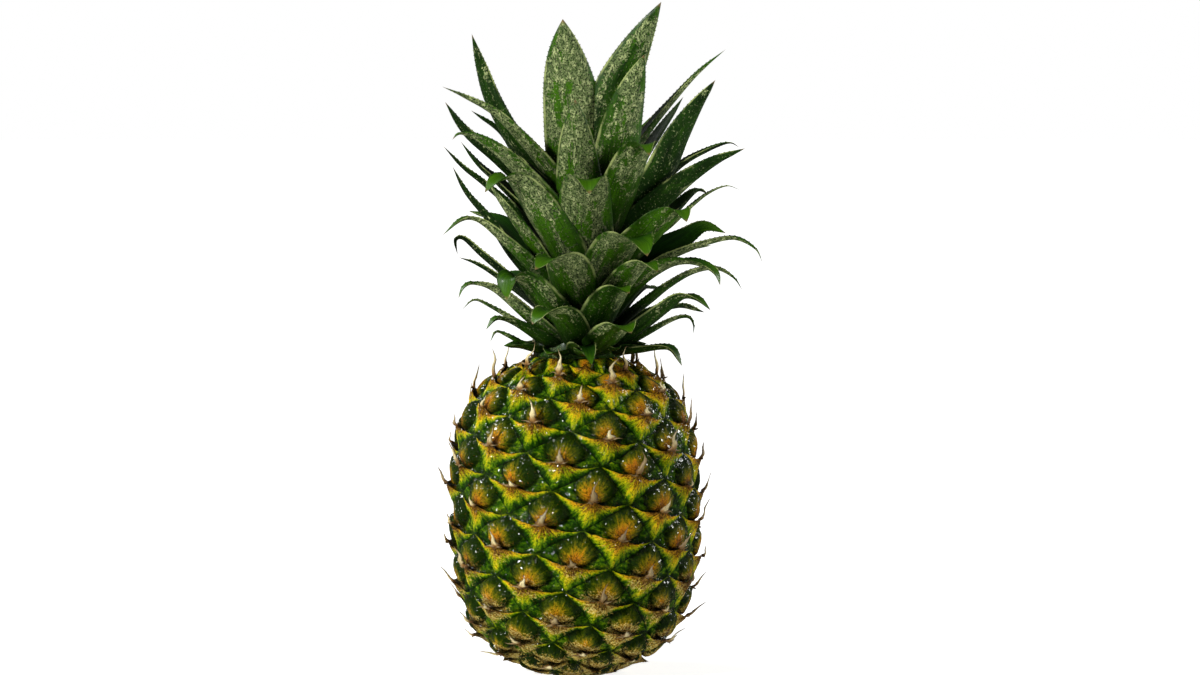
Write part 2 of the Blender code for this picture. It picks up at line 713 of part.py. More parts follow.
def build_pineapple():
    clear_scene()
    parts = make_collection("pineapple")
    cutters = make_collection("cutters")
    for item in (build_fruit(parts, cutters), build_crown(parts), build_stalk(parts)):
        item.data.shade_smooth()
        item.data.set_sharp_from_angle(angle=math.radians(38))


build_pineapple()
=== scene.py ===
"""Looks of a ripe pineapple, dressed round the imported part.

The rind, the dry spines and the leaves are finer pieces that keep the part's own forms, and the
cut stalk keeps its solid. Z is up and the side with the crown's broad leaves faces -Y. Shapes
are worked out in millimetres and turned to metres when a mesh is made.
"""

import itertools
import json
import math
import random

import bpy
import numpy as np
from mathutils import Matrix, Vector

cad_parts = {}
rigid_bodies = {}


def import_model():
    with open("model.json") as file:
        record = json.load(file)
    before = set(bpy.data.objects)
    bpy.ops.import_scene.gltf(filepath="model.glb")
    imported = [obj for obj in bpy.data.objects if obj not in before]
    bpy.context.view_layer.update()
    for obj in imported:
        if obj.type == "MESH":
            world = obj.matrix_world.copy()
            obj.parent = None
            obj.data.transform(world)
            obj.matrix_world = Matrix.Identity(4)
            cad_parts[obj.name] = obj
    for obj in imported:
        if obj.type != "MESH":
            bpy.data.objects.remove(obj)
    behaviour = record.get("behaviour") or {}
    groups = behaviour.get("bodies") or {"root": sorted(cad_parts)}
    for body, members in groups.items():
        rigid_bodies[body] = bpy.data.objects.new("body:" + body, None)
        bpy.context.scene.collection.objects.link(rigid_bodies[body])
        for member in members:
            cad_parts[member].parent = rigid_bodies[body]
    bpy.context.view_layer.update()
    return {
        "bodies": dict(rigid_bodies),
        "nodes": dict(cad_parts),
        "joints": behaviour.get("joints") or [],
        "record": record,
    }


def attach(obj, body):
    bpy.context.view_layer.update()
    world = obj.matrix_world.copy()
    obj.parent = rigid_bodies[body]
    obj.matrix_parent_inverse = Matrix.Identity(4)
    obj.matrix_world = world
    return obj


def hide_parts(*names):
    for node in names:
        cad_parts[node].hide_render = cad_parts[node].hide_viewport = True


MM = 0.001

# the fruit's outline is a superellipse round the Z axis, with a different upper and lower half
FRUIT_RADIUS = 61.0
EQUATOR_HEIGHT = 79.2
UPPER_HALF_HEIGHT = 70.5
LOWER_HALF_HEIGHT = 80.0
OUTLINE_POWER = 2.9
SHOULDER_HEIGHT = 148.6

# the eyes follow one spiral: every eye turns on by the golden angle and sits one step lower
GOLDEN_ANGLE = math.radians(137.508)
EYE_STEP = 1.38
FIRST_EYE_ARC = -8.6
FIRST_EYE_TURN = math.radians(4.8)
FRONT_SPREAD = 0.12
SPREAD_CENTRE = math.radians(-26)
TOP_EYE = -66
BOTTOM_EYE = 76
STEEP_ROWS = 8
GENTLE_ROWS = 13
STEEP_TURN = -(STEEP_ROWS * GOLDEN_ANGLE - 3 * 2 * math.pi)
GENTLE_TURN = -(GENTLE_ROWS * GOLDEN_ANGLE - 5 * 2 * math.pi)
CUTS_PER_EYE = 26

# each eye is a three-ridged bract over a rounded dome, which dips under the bract's upper lip
BRACT_HEIGHT = 4.8
DOME_HEIGHT = 2.9
WALL_SHARE = 0.14
POCKET_REACH = 0.13
LIP_SAG = 0.13
RIDGE_HOLLOW = 1.1
EYE_WANDER = 0.9
EYE_SIZES = (0.88, 1.12)
# the relief fades out where the outline runs in towards the poles
POLE_RADIUS = 20.0

# a spine's root: how far below the bract's tip, in eyes, and how deep in it
ROOT_SHIFT = 0.04
ROOT_DEPTH = 1.3
# between which heights a bract has a spine, and between which the part has spines of its own
SPINE_HEIGHTS = (6, 147.5)
PART_SPINE_HEIGHTS = (10, 139)
# how many eyes to both sides are searched for bracts along each gentle row
SPINE_SEARCH = 20
SPINE_STATIONS = 14
SPINE_COLUMNS = 5
# how far on from the last one the streaks of a spine, and below of a leaf, are read
SPINE_SEED_STEP = 11.0

RECESS_RADIUS = 12.3
RECESS_DEPTH = 5.3

# the crown's stem leans a little to the right
STEM_BASE_SHIFT = 1.5
STEM_LEAN = 0.125

LEAF_STATIONS = 54
LEAF_COLUMNS = 11
BLADE_THICKNESS = 1.4
MIDRIB_DIP = 0.45
HIDDEN_LEAVES = 25
COLLAR_LEAVES = 11
COLLAR_ROOT = (151.2, 15.0)
TOOTH_SPACING = 2.3
LEAF_SEED_STEP = 37.0

# the photograph's view: where the camera looks, how far off it stands, and its rise in degrees
CAMERA_TARGET = Vector((0.0117, 0.0, 0.1573))
CAMERA_DISTANCE = 1.5
CAMERA_RISE = math.radians(4)
CAMERA_LENS = 96

# each leaf: its scurf from 0 for dark, bare green to 1 for grey, its width and taper, its facing and
# twist in degrees, then its midrib's points from root to tip
FRONT_LEAVES = [
    (0.85, 30, 4.5, -93, 0, [(8, 1, 208), (2, -3, 235), (-1, -6, 262), (-4, -9, 285),
        (-5.5, -14, 305.5)]),
    (0.85, 23, 4.0, -93, 0, [(8, -6, 190), (3, -17, 220), (1, -25, 245), (0.5, -36, 268.5)]),
    (0.65, 23, 4.0, -72, 0, [(12, -2, 205), (18, -9, 232), (23, -14, 259), (28, -17, 277),
        (32, -22, 289)]),
    (0.5, 25, 3.5, -78, 0, [(12, 1, 208), (13, -2, 240), (18, -5, 268), (27.5, -8, 290),
        (40, -12, 313.5)]),
    (0.6, 22, 5.0, -60, 0, [(13, -7, 196), (18, -17, 216), (24, -27, 234), (29, -37, 246),
        (32, -47, 248), (34, -52, 243)]),
    (0.95, 25, 6.0, -86, 0, [(8, -8, 182), (6, -20, 203), (5, -32, 220), (5.5, -44, 231.5),
        (6.5, -53, 232), (7, -57, 226)]),
    (0.75, 23, 5.0, -100, 0, [(4, -12, 163), (0, -25, 180), (-3, -37, 191.5), (-7, -48, 197),
        (-13, -56, 196.5), (-17.5, -60, 192)]),
    (0.85, 24, 5.0, -76, 0, [(9, -9, 177), (15, -22, 191), (21, -36, 202.5), (26, -47, 206.5),
        (31, -56, 204), (33, -60, 198)]),
    (0.5, 17, 5.0, -105, 0, [(2, -16, 151), (-1, -27, 161.5), (-5, -37, 170), (-10, -46, 173.5),
        (-15.5, -52, 172), (-19, -54, 167)]),
    (0.4, 20, 5.0, -66, 0, [(8, -13, 156), (12, -26, 169), (17, -38, 179), (21, -47, 183.5),
        (25, -53, 181)]),
    (0.5, 20, 6.0, -66, 0, [(9, -15, 151), (14, -28, 157.5), (19, -39, 164), (22, -47, 166.5),
        (26, -53, 163)]),
    (0.7, 18, 5.0, -56, 0, [(12, -12, 168), (20, -25, 181), (27, -36, 190.5), (33, -43, 194.5),
        (38, -49, 190.5)]),
    (0.7, 23, 5.5, -60, 0, [(14, -9, 184), (25, -21, 197), (35, -31, 208), (43, -38, 216),
        (48, -44, 218.5), (51, -48, 213)]),
    (0.3, 12, 3.0, -75, 0, [(0, -18, 151.5), (3, -30, 156), (6, -40, 155), (8, -47, 148)]),
]
LEFT_LEAVES = [
    (0.3, 20, 2.4, 178, 65, [(6, 2, 216), (-12, 1, 235), (-28, 0, 249), (-38.5, 0, 267), (-44, 0, 284),
        (-48, -1, 299)]),
    (0.9, 22, 1.5, 200, 10, [(5, -3, 208), (-7, -6, 228), (-20, -8, 245), (-33, -9, 259), (-41, -9, 265),
        (-52, -9, 270.5), (-61.5, -9, 274.5)]),
    (0.08, 20, 3.0, 170, 40, [(3, 2, 201), (-19, 5, 224), (-37, 7, 241), (-51, 8, 253),
        (-61, 8, 267.5)]),
    (0.1, 20, 3.0, 160, 20, [(4, 5, 205), (-12, 9, 225), (-26, 12, 241), (-35, 13, 254),
        (-49, 13, 263.5)]),
    (0.8, 22, 3.0, 215, 0, [(3, -4, 190), (-3, -7, 203), (-10, -10, 215), (-22, -13, 231),
        (-34, -15, 243.5), (-46, -16, 251.5), (-53, -17, 253), (-56.5, -17, 250)]),
    (0.05, 18, 2.5, 172, 15, [(1, 2, 188), (-20, 4, 210), (-41, 6, 228.5), (-52, 7, 237),
        (-62, 7, 247)]),
    (0.1, 20, 2.5, 155, 15, [(2, 6, 192), (-18, 9, 213), (-36, 12, 230), (-45, 13, 238),
        (-54, 13, 249)]),
    (0.1, 20, 2.5, 180, 15, [(0, 1, 168), (-15, 2, 181), (-29, 3, 196), (-40.5, 4, 213), (-50.5, 4, 225),
        (-57.5, 4, 237.5)]),
    (0.8, 17, 3.0, 205, 0, [(0, -3, 168), (-11, -7, 187), (-22.5, -10, 205), (-33, -12, 220),
        (-40, -12, 230)]),
    (0.8, 24, 4.0, 235, 0, [(3, -10, 177), (-4, -18, 196), (-13, -24, 212), (-22, -28, 226),
        (-29, -31, 233), (-36, -33, 232), (-41, -34, 226)]),
    (0.75, 18, 2.0, 208, 0, [(0, -5, 165), (-10, -9, 178), (-20, -13, 191), (-34, -17, 205),
        (-44, -19, 213), (-52, -20, 213.5), (-61, -20, 206)]),
    (0.05, 18, 2.5, 180, 10, [(-2, 0, 160), (-18, 1, 174), (-32, 1, 187), (-44, 1, 197), (-52, 1, 204),
        (-56, 1, 203), (-55, 1, 196)]),
    (0.12, 16, 2.0, 168, 20, [(-2, 4, 159), (-18, 7, 172.5), (-36, 9, 185.5), (-46, 10, 191.5),
        (-55, 10, 194.5)]),
    (0.8, 17, 2.0, 215, 0, [(-1, -10, 152), (-11, -15, 159), (-22, -20, 169), (-36, -24, 181),
        (-46, -26, 184.5), (-51, -27, 182.5), (-53.5, -27, 177)]),
    (0.5, 13, 1.6, 186, 0, [(-4, -2, 151), (-14, -3, 157), (-25, -4, 164), (-39, -5, 172.5),
        (-47, -5, 175.4), (-53, -5, 170.5)]),
    (0.45, 16, 2.5, 212, 0, [(-4, -8, 151), (-14, -14, 157), (-27, -19, 165.5), (-36, -22, 168),
        (-41, -23, 162.5)]),
    (0.6, 11, 1.8, 196, 0, [(-8, -5, 151), (-15, -7, 152.5), (-22, -9, 154), (-30.5, -11, 159),
        (-36.5, -12, 161), (-39.4, -13, 156)]),
    (0.6, 22, 5.0, 230, 0, [(0, -11, 153), (-8, -20, 167), (-16, -27, 178), (-23, -31, 186),
        (-30, -33, 187), (-31, -34, 177)]),
]
RIGHT_LEAVES = [
    (0.8, 20, 1.8, 8, 0, [(13, 2, 209), (22, 3, 235), (33, 4, 253), (46, 5, 269), (58, 5, 282),
        (70.5, 5, 292)]),
    (0.1, 16, 3.0, 25, 0, [(12, 6, 203), (30, 11, 238), (51, 15, 270)]),
    (0.2, 22, 4.0, -45, 0, [(14, 0, 199), (29, -5, 218), (40.5, -8, 234), (48.5, -10, 251),
        (57, -12, 266), (65, -14, 277.5)]),
    (0.05, 18, 2.2, 10, 0, [(14, 4, 196), (30, 7, 219), (48, 9, 237), (61.5, 9, 245), (72, 9, 248.5),
        (77.5, 9, 246)]),
    (0.25, 21, 3.0, -48, 0, [(14, -3, 191), (30, -7, 211), (44.5, -10, 225), (55, -11, 233.5),
        (67, -12, 241), (79, -12, 246)]),
    (0.95, 10, 1.8, 5, 0, [(15, 2, 186), (30, 3, 199), (44.6, 4, 210), (52, 4, 217), (61.5, 5, 224.5),
        (71, 5, 228.3), (78, 5, 226)]),
    (0.05, 18, 4.0, 25, 0, [(14, 6, 188), (32, 12, 205), (46, 16, 216), (57, 18, 226), (63, 19, 224)]),
    (0.1, 18, 2.2, 8, 80, [(15, 2, 176), (35, 5, 194.5), (50.5, 7, 203), (60.5, 8, 209), (71, 8, 206)]),
    (0.9, 18, 1.6, -8, 0, [(16, -3, 174), (28, -5, 185), (40, -7, 194), (50, -8, 198.5),
        (61.5, -8, 202.5), (74.5, -8, 204.5), (84, -8, 199.5), (87.5, -8, 192.5)]),
    (0.75, 19, 3.0, -38, 0, [(15, -8, 166), (27, -15, 182), (40, -20, 191.5), (50, -23, 194.5),
        (59, -25, 193), (65, -26, 189), (67, -27, 183)]),
    (0.6, 17, 1.8, -10, 0, [(15, -2, 158), (25, -4, 168), (35, -6, 176), (44, -7, 183), (55, -8, 189),
        (66, -8, 190.5), (74, -8, 186), (78, -8, 180)]),
    (0.35, 17, 3.0, -38, 0, [(14, -8, 152), (24, -14, 159), (33, -18, 165.5), (42, -21, 172.5),
        (49.7, -23, 178), (56.8, -24, 177), (62.8, -25, 171.5)]),
    (0.5, 13, 1.8, -10, 0, [(16, -1, 151), (24, -3, 155), (33, -5, 160), (43.6, -7, 165.8),
        (50, -8, 168), (54, -8, 167), (55.5, -8, 163), (54.9, -8, 159)]),
    (0.3, 12, 3.5, -25, 0, [(16, -8, 150.8), (23, -12, 152), (30, -15, 153), (40, -19, 154.5),
        (45.5, -21, 153), (49.7, -22, 145.5)]),
]


def soft_noise(points, seed):
    """Smooth values from -1 to 1 at each row of points, with about one lump to a unit."""
    table = np.random.RandomState(seed).uniform(-1, 1, 8192)
    cell = np.floor(points).astype(np.int64)
    share = points - cell
    share = share * share * (3 - 2 * share)
    total = np.zeros(len(points))
    for corner in itertools.product((0, 1), repeat=3):
        place = cell + np.array(corner)
        number = place[:, 0] * 73856093 ^ place[:, 1] * 19349663 ^ place[:, 2] * 83492791
        weight = np.prod(np.where(np.array(corner) == 1, share, 1 - share), axis=1)
        total += table[number % len(table)] * weight
    return total


def noise_at(seed, *columns):
    """Smooth noise at spots whose coordinates are given one by one."""
    return soft_noise(np.stack(np.broadcast_arrays(*columns), axis=-1), seed)


def smooth_step(value, low, high):
    share = np.clip((value - low) / (high - low), 0, 1)
    return share * share * (3 - 2 * share)


def outline_table(count=4001):
    """Arc length (0 at the equator, growing downwards), radius and height along the fruit's outline."""
    angle = np.linspace(math.pi / 2, -math.pi / 2, count)
    sine = np.sin(angle)
    cosine = np.clip(np.cos(angle), 0.0, None)
    half = np.where(sine > 0, UPPER_HALF_HEIGHT, LOWER_HALF_HEIGHT)
    height = EQUATOR_HEIGHT + half * np.sign(sine) * np.abs(sine) ** (2 / OUTLINE_POWER)
    radius = FRUIT_RADIUS * cosine ** (2 / OUTLINE_POWER)
    arc = np.concatenate([[0.0], np.cumsum(np.hypot(np.diff(radius), np.diff(height)))])
    return arc - arc[count // 2], radius, height


ARC, ARC_RADIUS, ARC_HEIGHT = outline_table()


def outline_at(arc):
    """Radius, height and outward normal (radial, up) of the fruit's outline."""
    step = 0.5
    radius, height = (np.interp(arc, ARC, values) for values in (ARC_RADIUS, ARC_HEIGHT))
    across = np.interp(arc + step, ARC, ARC_RADIUS) - np.interp(arc - step, ARC, ARC_RADIUS)
    down = np.interp(arc + step, ARC, ARC_HEIGHT) - np.interp(arc - step, ARC, ARC_HEIGHT)
    size = np.hypot(across, down)
    return radius, height, -down / size, across / size


def lattice_place(steep, gentle):
    """Turn from the front and arc length of a spot counted in steps along the two rows of eyes."""
    arc = FIRST_EYE_ARC + EYE_STEP * (STEEP_ROWS * steep + GENTLE_ROWS * gentle)
    turn = FIRST_EYE_TURN + STEEP_TURN * steep + GENTLE_TURN * gentle
    return turn + FRONT_SPREAD * np.sin(turn - SPREAD_CENTRE), arc


def surface_point(turn, arc, lift):
    radius, height, radial, up = outline_at(arc)
    radius = np.maximum(radius + radial * lift, 0.0)
    return np.stack([radius * np.sin(turn), -radius * np.cos(turn), height + up * lift], axis=-1)


def end_fade(arc):
    """1 over the fruit's sides, falling to 0 on its foot and under the crown."""
    radius, height = outline_at(arc)[:2]
    upper = np.clip((radius - POLE_RADIUS) / 7.0, 0, 1)
    lower = np.clip((radius - POLE_RADIUS) / 14.0, 0, 1)
    return np.where(height > EQUATOR_HEIGHT, upper, lower)


def eye_index(steep, gentle):
    return STEEP_ROWS * steep + GENTLE_ROWS * gentle


def eye_chances(indices, offset, low, high):
    """One random value for each eye, the same for every spot of that eye."""
    numbers, back = np.unique(indices, return_inverse=True)
    values = [low + (high - low) * random.Random(offset + int(n)).random() for n in numbers]
    return np.array(values)[back.reshape(np.shape(indices))]


def make_piece(name, points, faces):
    """A smooth mesh object from points in millimetres."""
    mesh = bpy.data.meshes.new(name)
    mesh.from_pydata((np.asarray(points) * MM).tolist(), [], [list(map(int, face)) for face in faces])
    mesh.update()
    mesh.shade_smooth()
    piece = bpy.data.objects.new(name, mesh)
    bpy.context.scene.collection.objects.link(piece)
    return piece


def store(piece, name, values, domain):
    """Keeps a vector for each point or face corner, which the material reads by its name."""
    layer = piece.data.attributes.new(name, "FLOAT_VECTOR", domain)
    layer.data.foreach_set("vector", np.ascontiguousarray(values, dtype=np.float32).ravel())


def rind_triangles():
    """Corners of the rind's triangles as whole cuts along both rows of eyes, and the eye of each."""
    cells = []
    for steep in range(GENTLE_ROWS * CUTS_PER_EYE):
        first = math.ceil((TOP_EYE * CUTS_PER_EYE - STEEP_ROWS * steep) / GENTLE_ROWS)
        last = math.ceil((BOTTOM_EYE * CUTS_PER_EYE - STEEP_ROWS * steep) / GENTLE_ROWS)
        cells += [(steep, gentle) for gentle in range(first, last)]
    cells = np.array(cells)
    corners = cells[:, None, :] + np.array([(0, 0), (1, 0), (1, 1), (0, 1)])
    triangles = corners[:, [[0, 1, 3], [1, 2, 3]]].reshape(-1, 3, 2)
    eyes = np.floor((cells + 0.5) / CUTS_PER_EYE + 0.5).astype(int)
    return triangles, np.repeat(eyes, 2, axis=0)


def eye_spot(down, right):
    """Where a spot of the grid lies in its eye. The lip sags on both sides of the spine.

    Rows above the lip first run in under it, then up over the dome. Gives the place down the eye,
    and how far round the lip's edge the spot is, from 0 to 1.
    """
    side = np.abs(right)
    room = np.maximum(1 - side, 1e-6)
    sag = LIP_SAG * np.sin(math.pi * np.clip(side, 0, 1) ** 0.8)
    share = np.where(down < 0, -down / room, 0)
    wall = np.clip(share / WALL_SHARE, 0, 1)
    climb = np.clip((share - WALL_SHARE) / (1 - WALL_SHARE), 0, 1)
    under = (sag + POCKET_REACH * room * np.sin(wall * math.pi / 2)) * (1 - climb) - room * climb
    return np.where(down < 0, under, sag + down * (room - sag) / room), wall


def dome_ring(spot, right):
    """0 in the middle of an eye's dome and 1 on its rim."""
    return np.hypot(right / 0.54, (spot + 0.40) / 0.53)


def eye_relief(down, right, spot, wall, index, size):
    """Depth of each spot below the fruit's outline, and its place along the eye with a ragged lip."""
    side = np.abs(right)
    room = 1 - side
    inside = np.clip(1 - np.abs(spot) - side, 0, 1)
    number = index * 7.31
    # the bract: hollow faces between three ridges, fluted from its tip outwards
    reach = np.hypot(right * 1.2, spot)
    around = np.arctan2(right * 1.2, np.abs(spot) + 0.02)
    flutes = noise_at(11, around * 6, reach * 1.5, number)
    flutes += 0.5 * noise_at(12, around * 14, reach * 2.5, number + 40)
    below = np.maximum(spot, 0)
    hollow = np.minimum(below, side) * RIDGE_HOLLOW
    bract = BRACT_HEIGHT * size * np.clip(1 - below - side, 0, 1) * (1 - hollow)
    bract += 0.22 * flutes * smooth_step(inside, 0, 0.2) * smooth_step(reach, 0.02, 0.3)
    # the dome: a rounded cushion with a crease round it and fine wrinkles from under the lip
    ring = dome_ring(spot, right)
    above = np.clip(1 - np.abs(np.minimum(spot, 0)) - side, 0, 1)
    wrinkles = noise_at(13, around * 8, reach * 1.2, number + 80)
    lumps = noise_at(14, right * 3.5, spot * 3.5, number + 120)
    dome = (DOME_HEIGHT * size * (1 - 0.5 * ring**2) + 0.16 * wrinkles + 0.3 * lumps)
    dome *= smooth_step(ring, 1.05, 0.84) * smooth_step(above, 0.0, 0.1)
    dome -= 0.45 * np.exp(-(((ring - 1.03) / 0.07) ** 2)) * smooth_step(above, 0, 0.08)
    lip = bract + 0.25 * smooth_step(room, 0, 0.4)
    on_dome = lip * (1 - wall) + dome * wall
    ragged = noise_at(15, right * 5, 0, number + 160)
    ragged += 0.5 * noise_at(16, right * 15, 0, number + 200)
    edge = np.where(down < 0, 1 - wall, np.exp(-np.abs(down) / 0.06))
    moved = spot + 0.028 * ragged * edge * smooth_step(room, 0, 0.3)
    curl = 0.25 * np.exp(-np.abs(down) / 0.05) * smooth_step(room, 0, 0.35)
    height = np.where(down < 0, on_dome, bract + curl)
    return height - BRACT_HEIGHT, moved


def wander(turn, arc):
    """Moves a spot a little, so that the eyes don't sit in ruled rows."""
    plain = surface_point(turn, arc, 0)
    turned = turn + EYE_WANDER / FRUIT_RADIUS * soft_noise(plain / 11, 23)
    return turned, arc + EYE_WANDER * soft_noise(plain / 11, 24)


def rind_points(eyes, local):
    """The rind's surface at spots of its grid, in millimetres."""
    down, right = local.sum(axis=1), local[:, 1] - local[:, 0]
    index = eye_index(eyes[:, 0], eyes[:, 1])
    size = eye_chances(index, 0, *EYE_SIZES)
    spot, wall = eye_spot(down, right)
    relief, moved = eye_relief(down, right, spot, wall, index, size)
    turn, arc = lattice_place(eyes[:, 0] + (moved - right) / 2, eyes[:, 1] + (moved + right) / 2)
    turn, arc = wander(turn, arc)
    fade = end_fade(arc)
    points = surface_point(turn, arc, relief * fade)
    normal_lift = 0.5 * soft_noise(points / 4.5, 21) + 0.22 * soft_noise(points / 1.7, 22)
    points = surface_point(turn, arc, (relief + normal_lift - 0.1) * fade)
    points[:, 2] = np.clip(points[:, 2], 0.0, SHOULDER_HEIGHT)
    return points


def close_rind(points, faces):
    """Adds the flat under the crown, and the foot with its round recess for the stalk."""
    edges = np.vstack([faces[:, [0, 1]], faces[:, [1, 2]], faces[:, [2, 0]]])
    code = edges.min(axis=1) * len(points) + edges.max(axis=1)
    first, count = np.unique(code, return_index=True, return_counts=True)[1:]
    rim = edges[first[count == 1]]
    top = rim[points[rim[:, 0], 2] > EQUATOR_HEIGHT]
    foot = rim[points[rim[:, 0], 2] <= EQUATOR_HEIGHT]
    extra, added = [], []

    def new_point(place):
        extra.append(place)
        return len(points) + len(extra) - 1

    crown_pole = new_point((0.0, 0.0, SHOULDER_HEIGHT))
    added += [(q, p, crown_pole) for p, q in top]
    recess_pole = new_point((0.0, 0.0, RECESS_DEPTH))
    lower, upper = {}, {}
    for spot in np.unique(foot):
        turn = math.atan2(points[spot, 1], points[spot, 0])
        x, y = RECESS_RADIUS * math.cos(turn), RECESS_RADIUS * math.sin(turn)
        lower[spot] = new_point((x, y, 0.0))
        upper[spot] = new_point((x, y, RECESS_DEPTH))
    for p, q in foot:
        added += [(q, p, lower[p]), (q, lower[p], lower[q])]
        added += [(lower[q], lower[p], upper[p]), (lower[q], upper[p], upper[q])]
        added.append((upper[q], upper[p], recess_pole))
    return np.vstack([points, extra]), np.vstack([faces, added])


def rind_paint(eyes, triangles):
    """What the material needs at each face corner: two sets of masks, one of them with the painted shade of
    the creases, lips and grooves, and where its streaks run.
    """
    local = triangles / CUTS_PER_EYE - eyes[:, None, :]
    down, right = local.sum(axis=2), local[:, :, 1] - local[:, :, 0]
    index = np.repeat(eye_index(eyes[:, 0], eyes[:, 1])[:, None], 3, axis=1)
    spot, wall = eye_spot(down, right)
    bract = np.repeat(down.mean(axis=1)[:, None] > 0, 3, axis=1)
    side = np.abs(right)
    below = np.maximum(down, 0)
    inside = np.clip(1 - np.abs(spot) - side, 0, 1)
    ring = dome_ring(spot, right)
    off_dome = np.where(bract, 1, smooth_step(ring, 0.94, 1.04) * (wall >= 1))
    steep, gentle = eyes[:, None, 0] + (spot - right) / 2, eyes[:, None, 1] + (spot + right) / 2
    height = np.interp(lattice_place(steep, gentle)[1], ARC, ARC_HEIGHT)
    ripe = eye_chances(index, 3000, -0.12, 0.12)
    lean = eye_chances(index, 4000, -0.2, 0.04)
    star = np.exp(-(np.hypot(right / 0.56, (spot - 0.14) / 0.5) ** 2))
    dry = (1.1 * smooth_step(height, 90, 16) + eye_chances(index, 5000, -0.15, 0.25)) * star
    dry += 0.3 * smooth_step(height, 22, 4)
    yellow = 1.24 - 0.38 * side - 0.8 * np.maximum(side - 0.45, 0) + 0.08 * (right < 0) + ripe
    yellow -= 0.92 * below + 1.35 * np.minimum(below, side)
    yellow = np.where(bract, yellow, 0.3)
    amber = 1.1 - np.hypot((right - lean) / 0.45, (np.minimum(spot, 0) + 0.12) / 0.62) + 1.3 * ripe
    brown = np.exp(-(np.hypot(right / 0.42, (spot - 0.08) / 0.36) ** 2))
    brown += 0.5 * np.exp(-np.abs(down) / 0.04) * smooth_step(1 - side, 0.2, 0.8)
    brown = np.where(bract, brown, 0.7 * brown)
    # painted shade: darkest in the crease round each dome, in a band just under the bract's lip, and in the
    # grooves at the bract's rim
    painted_crease_shade = 1 - 0.95 * np.exp(-(((ring - 1.02) / 0.09) ** 2))
    painted_crease_shade *= 1 - 0.75 * smooth_step(wall, 0, 0.3) * np.exp(-np.clip(-down - 0.1, 0, 1) / 0.05)
    painted_groove_shade = np.where(bract, smooth_step(inside, -0.04, 0.1), painted_crease_shade)
    reach = np.hypot(right * 17, spot * 14.5)
    around = np.arctan2(right * 1.2, np.abs(spot) + 0.02)
    ray = np.stack([around * 6.5 + 30 * bract, reach, index * 9.7], axis=-1)
    first = np.stack([yellow, amber, brown], axis=-1)
    second = np.stack([painted_groove_shade, np.clip(dry, 0, 1), off_dome], axis=-1)
    return first, second, ray


def build_rind(material):
    triangles, eyes = rind_triangles()
    wrapped = triangles.copy()
    over = wrapped[:, :, 0] == GENTLE_ROWS * CUTS_PER_EYE
    wrapped[over] += (-GENTLE_ROWS * CUTS_PER_EYE, STEEP_ROWS * CUTS_PER_EYE)
    code = (wrapped[:, :, 0] * 100000 + wrapped[:, :, 1] + 50000).ravel()
    first, back = np.unique(code, return_index=True, return_inverse=True)[1:]
    corner_eyes = np.repeat(eyes, 3, axis=0)
    local = triangles.reshape(-1, 2) / CUTS_PER_EYE - corner_eyes
    points = rind_points(corner_eyes[first], local[first])
    faces = back.reshape(-1, 3)
    masks = rind_paint(eyes, triangles)
    points, closed = close_rind(points, faces)
    rind = make_piece("rind_skin", points, closed)
    ends = len(closed) - len(faces)
    # the flat under the crown and the foot's recess take a little of the painted shade
    plain = ((0.1, 0.0, 0.5), (0.8, 1.0, 1.0), (0.0, 0.0, 0.0))
    for name, values, end_value in zip(("paint", "wear_and_shade", "ray"), masks, plain):
        filled = np.vstack([values.reshape(-1, 3), np.tile(end_value, (ends * 3, 1))])
        store(rind, name, filled, "CORNER")
    rind.data.materials.append(material)
    return rind


def values_at(spots, known, rows):
    """Rows of values read off at spots between the known distances."""
    return np.column_stack([np.interp(spots, known, column) for column in rows.T])


def smooth_path(points, shares):
    """Spots at shares of a smooth curve through the points, with their directions and its length."""
    given = np.array(points, dtype=float)
    padded = np.vstack([2 * given[0] - given[1], given, 2 * given[-1] - given[-2]])
    fine = []
    for a, b, c, d in zip(padded, padded[1:], padded[2:], padded[3:]):
        for s in np.linspace(0, 1, 24, endpoint=False):
            bend = (2 * a - 5 * b + 4 * c - d) * s**2 + (3 * b - a - 3 * c + d) * s**3
            fine.append((2 * b + (c - a) * s + bend) / 2)
    fine.append(given[-1])
    fine = np.array(fine)
    run = np.concatenate([[0.0], np.cumsum(np.linalg.norm(np.diff(fine, axis=0), axis=1))])
    along = run[-1] * shares
    spots = (np.clip(along + step, 0, run[-1]) for step in (-1.5, 0, 1.5))
    before, here, after = (values_at(spot, run, fine) for spot in spots)
    direction = after - before
    direction /= np.linalg.norm(direction, axis=1)[:, None]
    return here, direction, run[-1]


def twist_frame(direction, flat, turn):
    """Sideways and inward directions along a midrib: square to it, then turned round it."""
    side = flat - direction * (direction @ flat)[:, None]
    side /= np.linalg.norm(side, axis=1)[:, None]
    inward = np.cross(direction, side)
    cosine, sine = np.cos(turn)[:, None], np.sin(turn)[:, None]
    return side * cosine + inward * sine, inward * cosine - side * sine


def blade_ring(u):
    """Places across a blade, once round its section, and 1 for its inner face and -1 for its outer."""
    inner = np.concatenate([[0.0], np.ones(len(u) - 2)])
    return np.concatenate([u, u[-2:0:-1]]), np.concatenate([inner, -inner])


class Shells:
    """Closed shells gathered into one mesh, with what the material needs at each of their points."""

    def __init__(self):
        self.points, self.faces, self.places, self.kinds, self.inner = [], [], [], [], []
        self.count = 0

    def add(self, points, faces, places, kinds, inner):
        self.points.append(points)
        self.faces += [[corner + self.count for corner in face] for face in faces]
        self.places.append(places)
        self.kinds.append(kinds)
        self.inner += inner
        self.count += len(points)

    def build(self, name, material):
        piece = make_piece(name, np.vstack(self.points), self.faces)
        store(piece, "place", np.vstack(self.places), "POINT")
        store(piece, "kind", np.vstack(self.kinds), "POINT")
        faces = piece.data.attributes.new("inner", "FLOAT", "FACE")
        faces.data.foreach_set("value", np.array(self.inner, dtype=np.float32))
        piece.data.materials.append(material)
        return piece


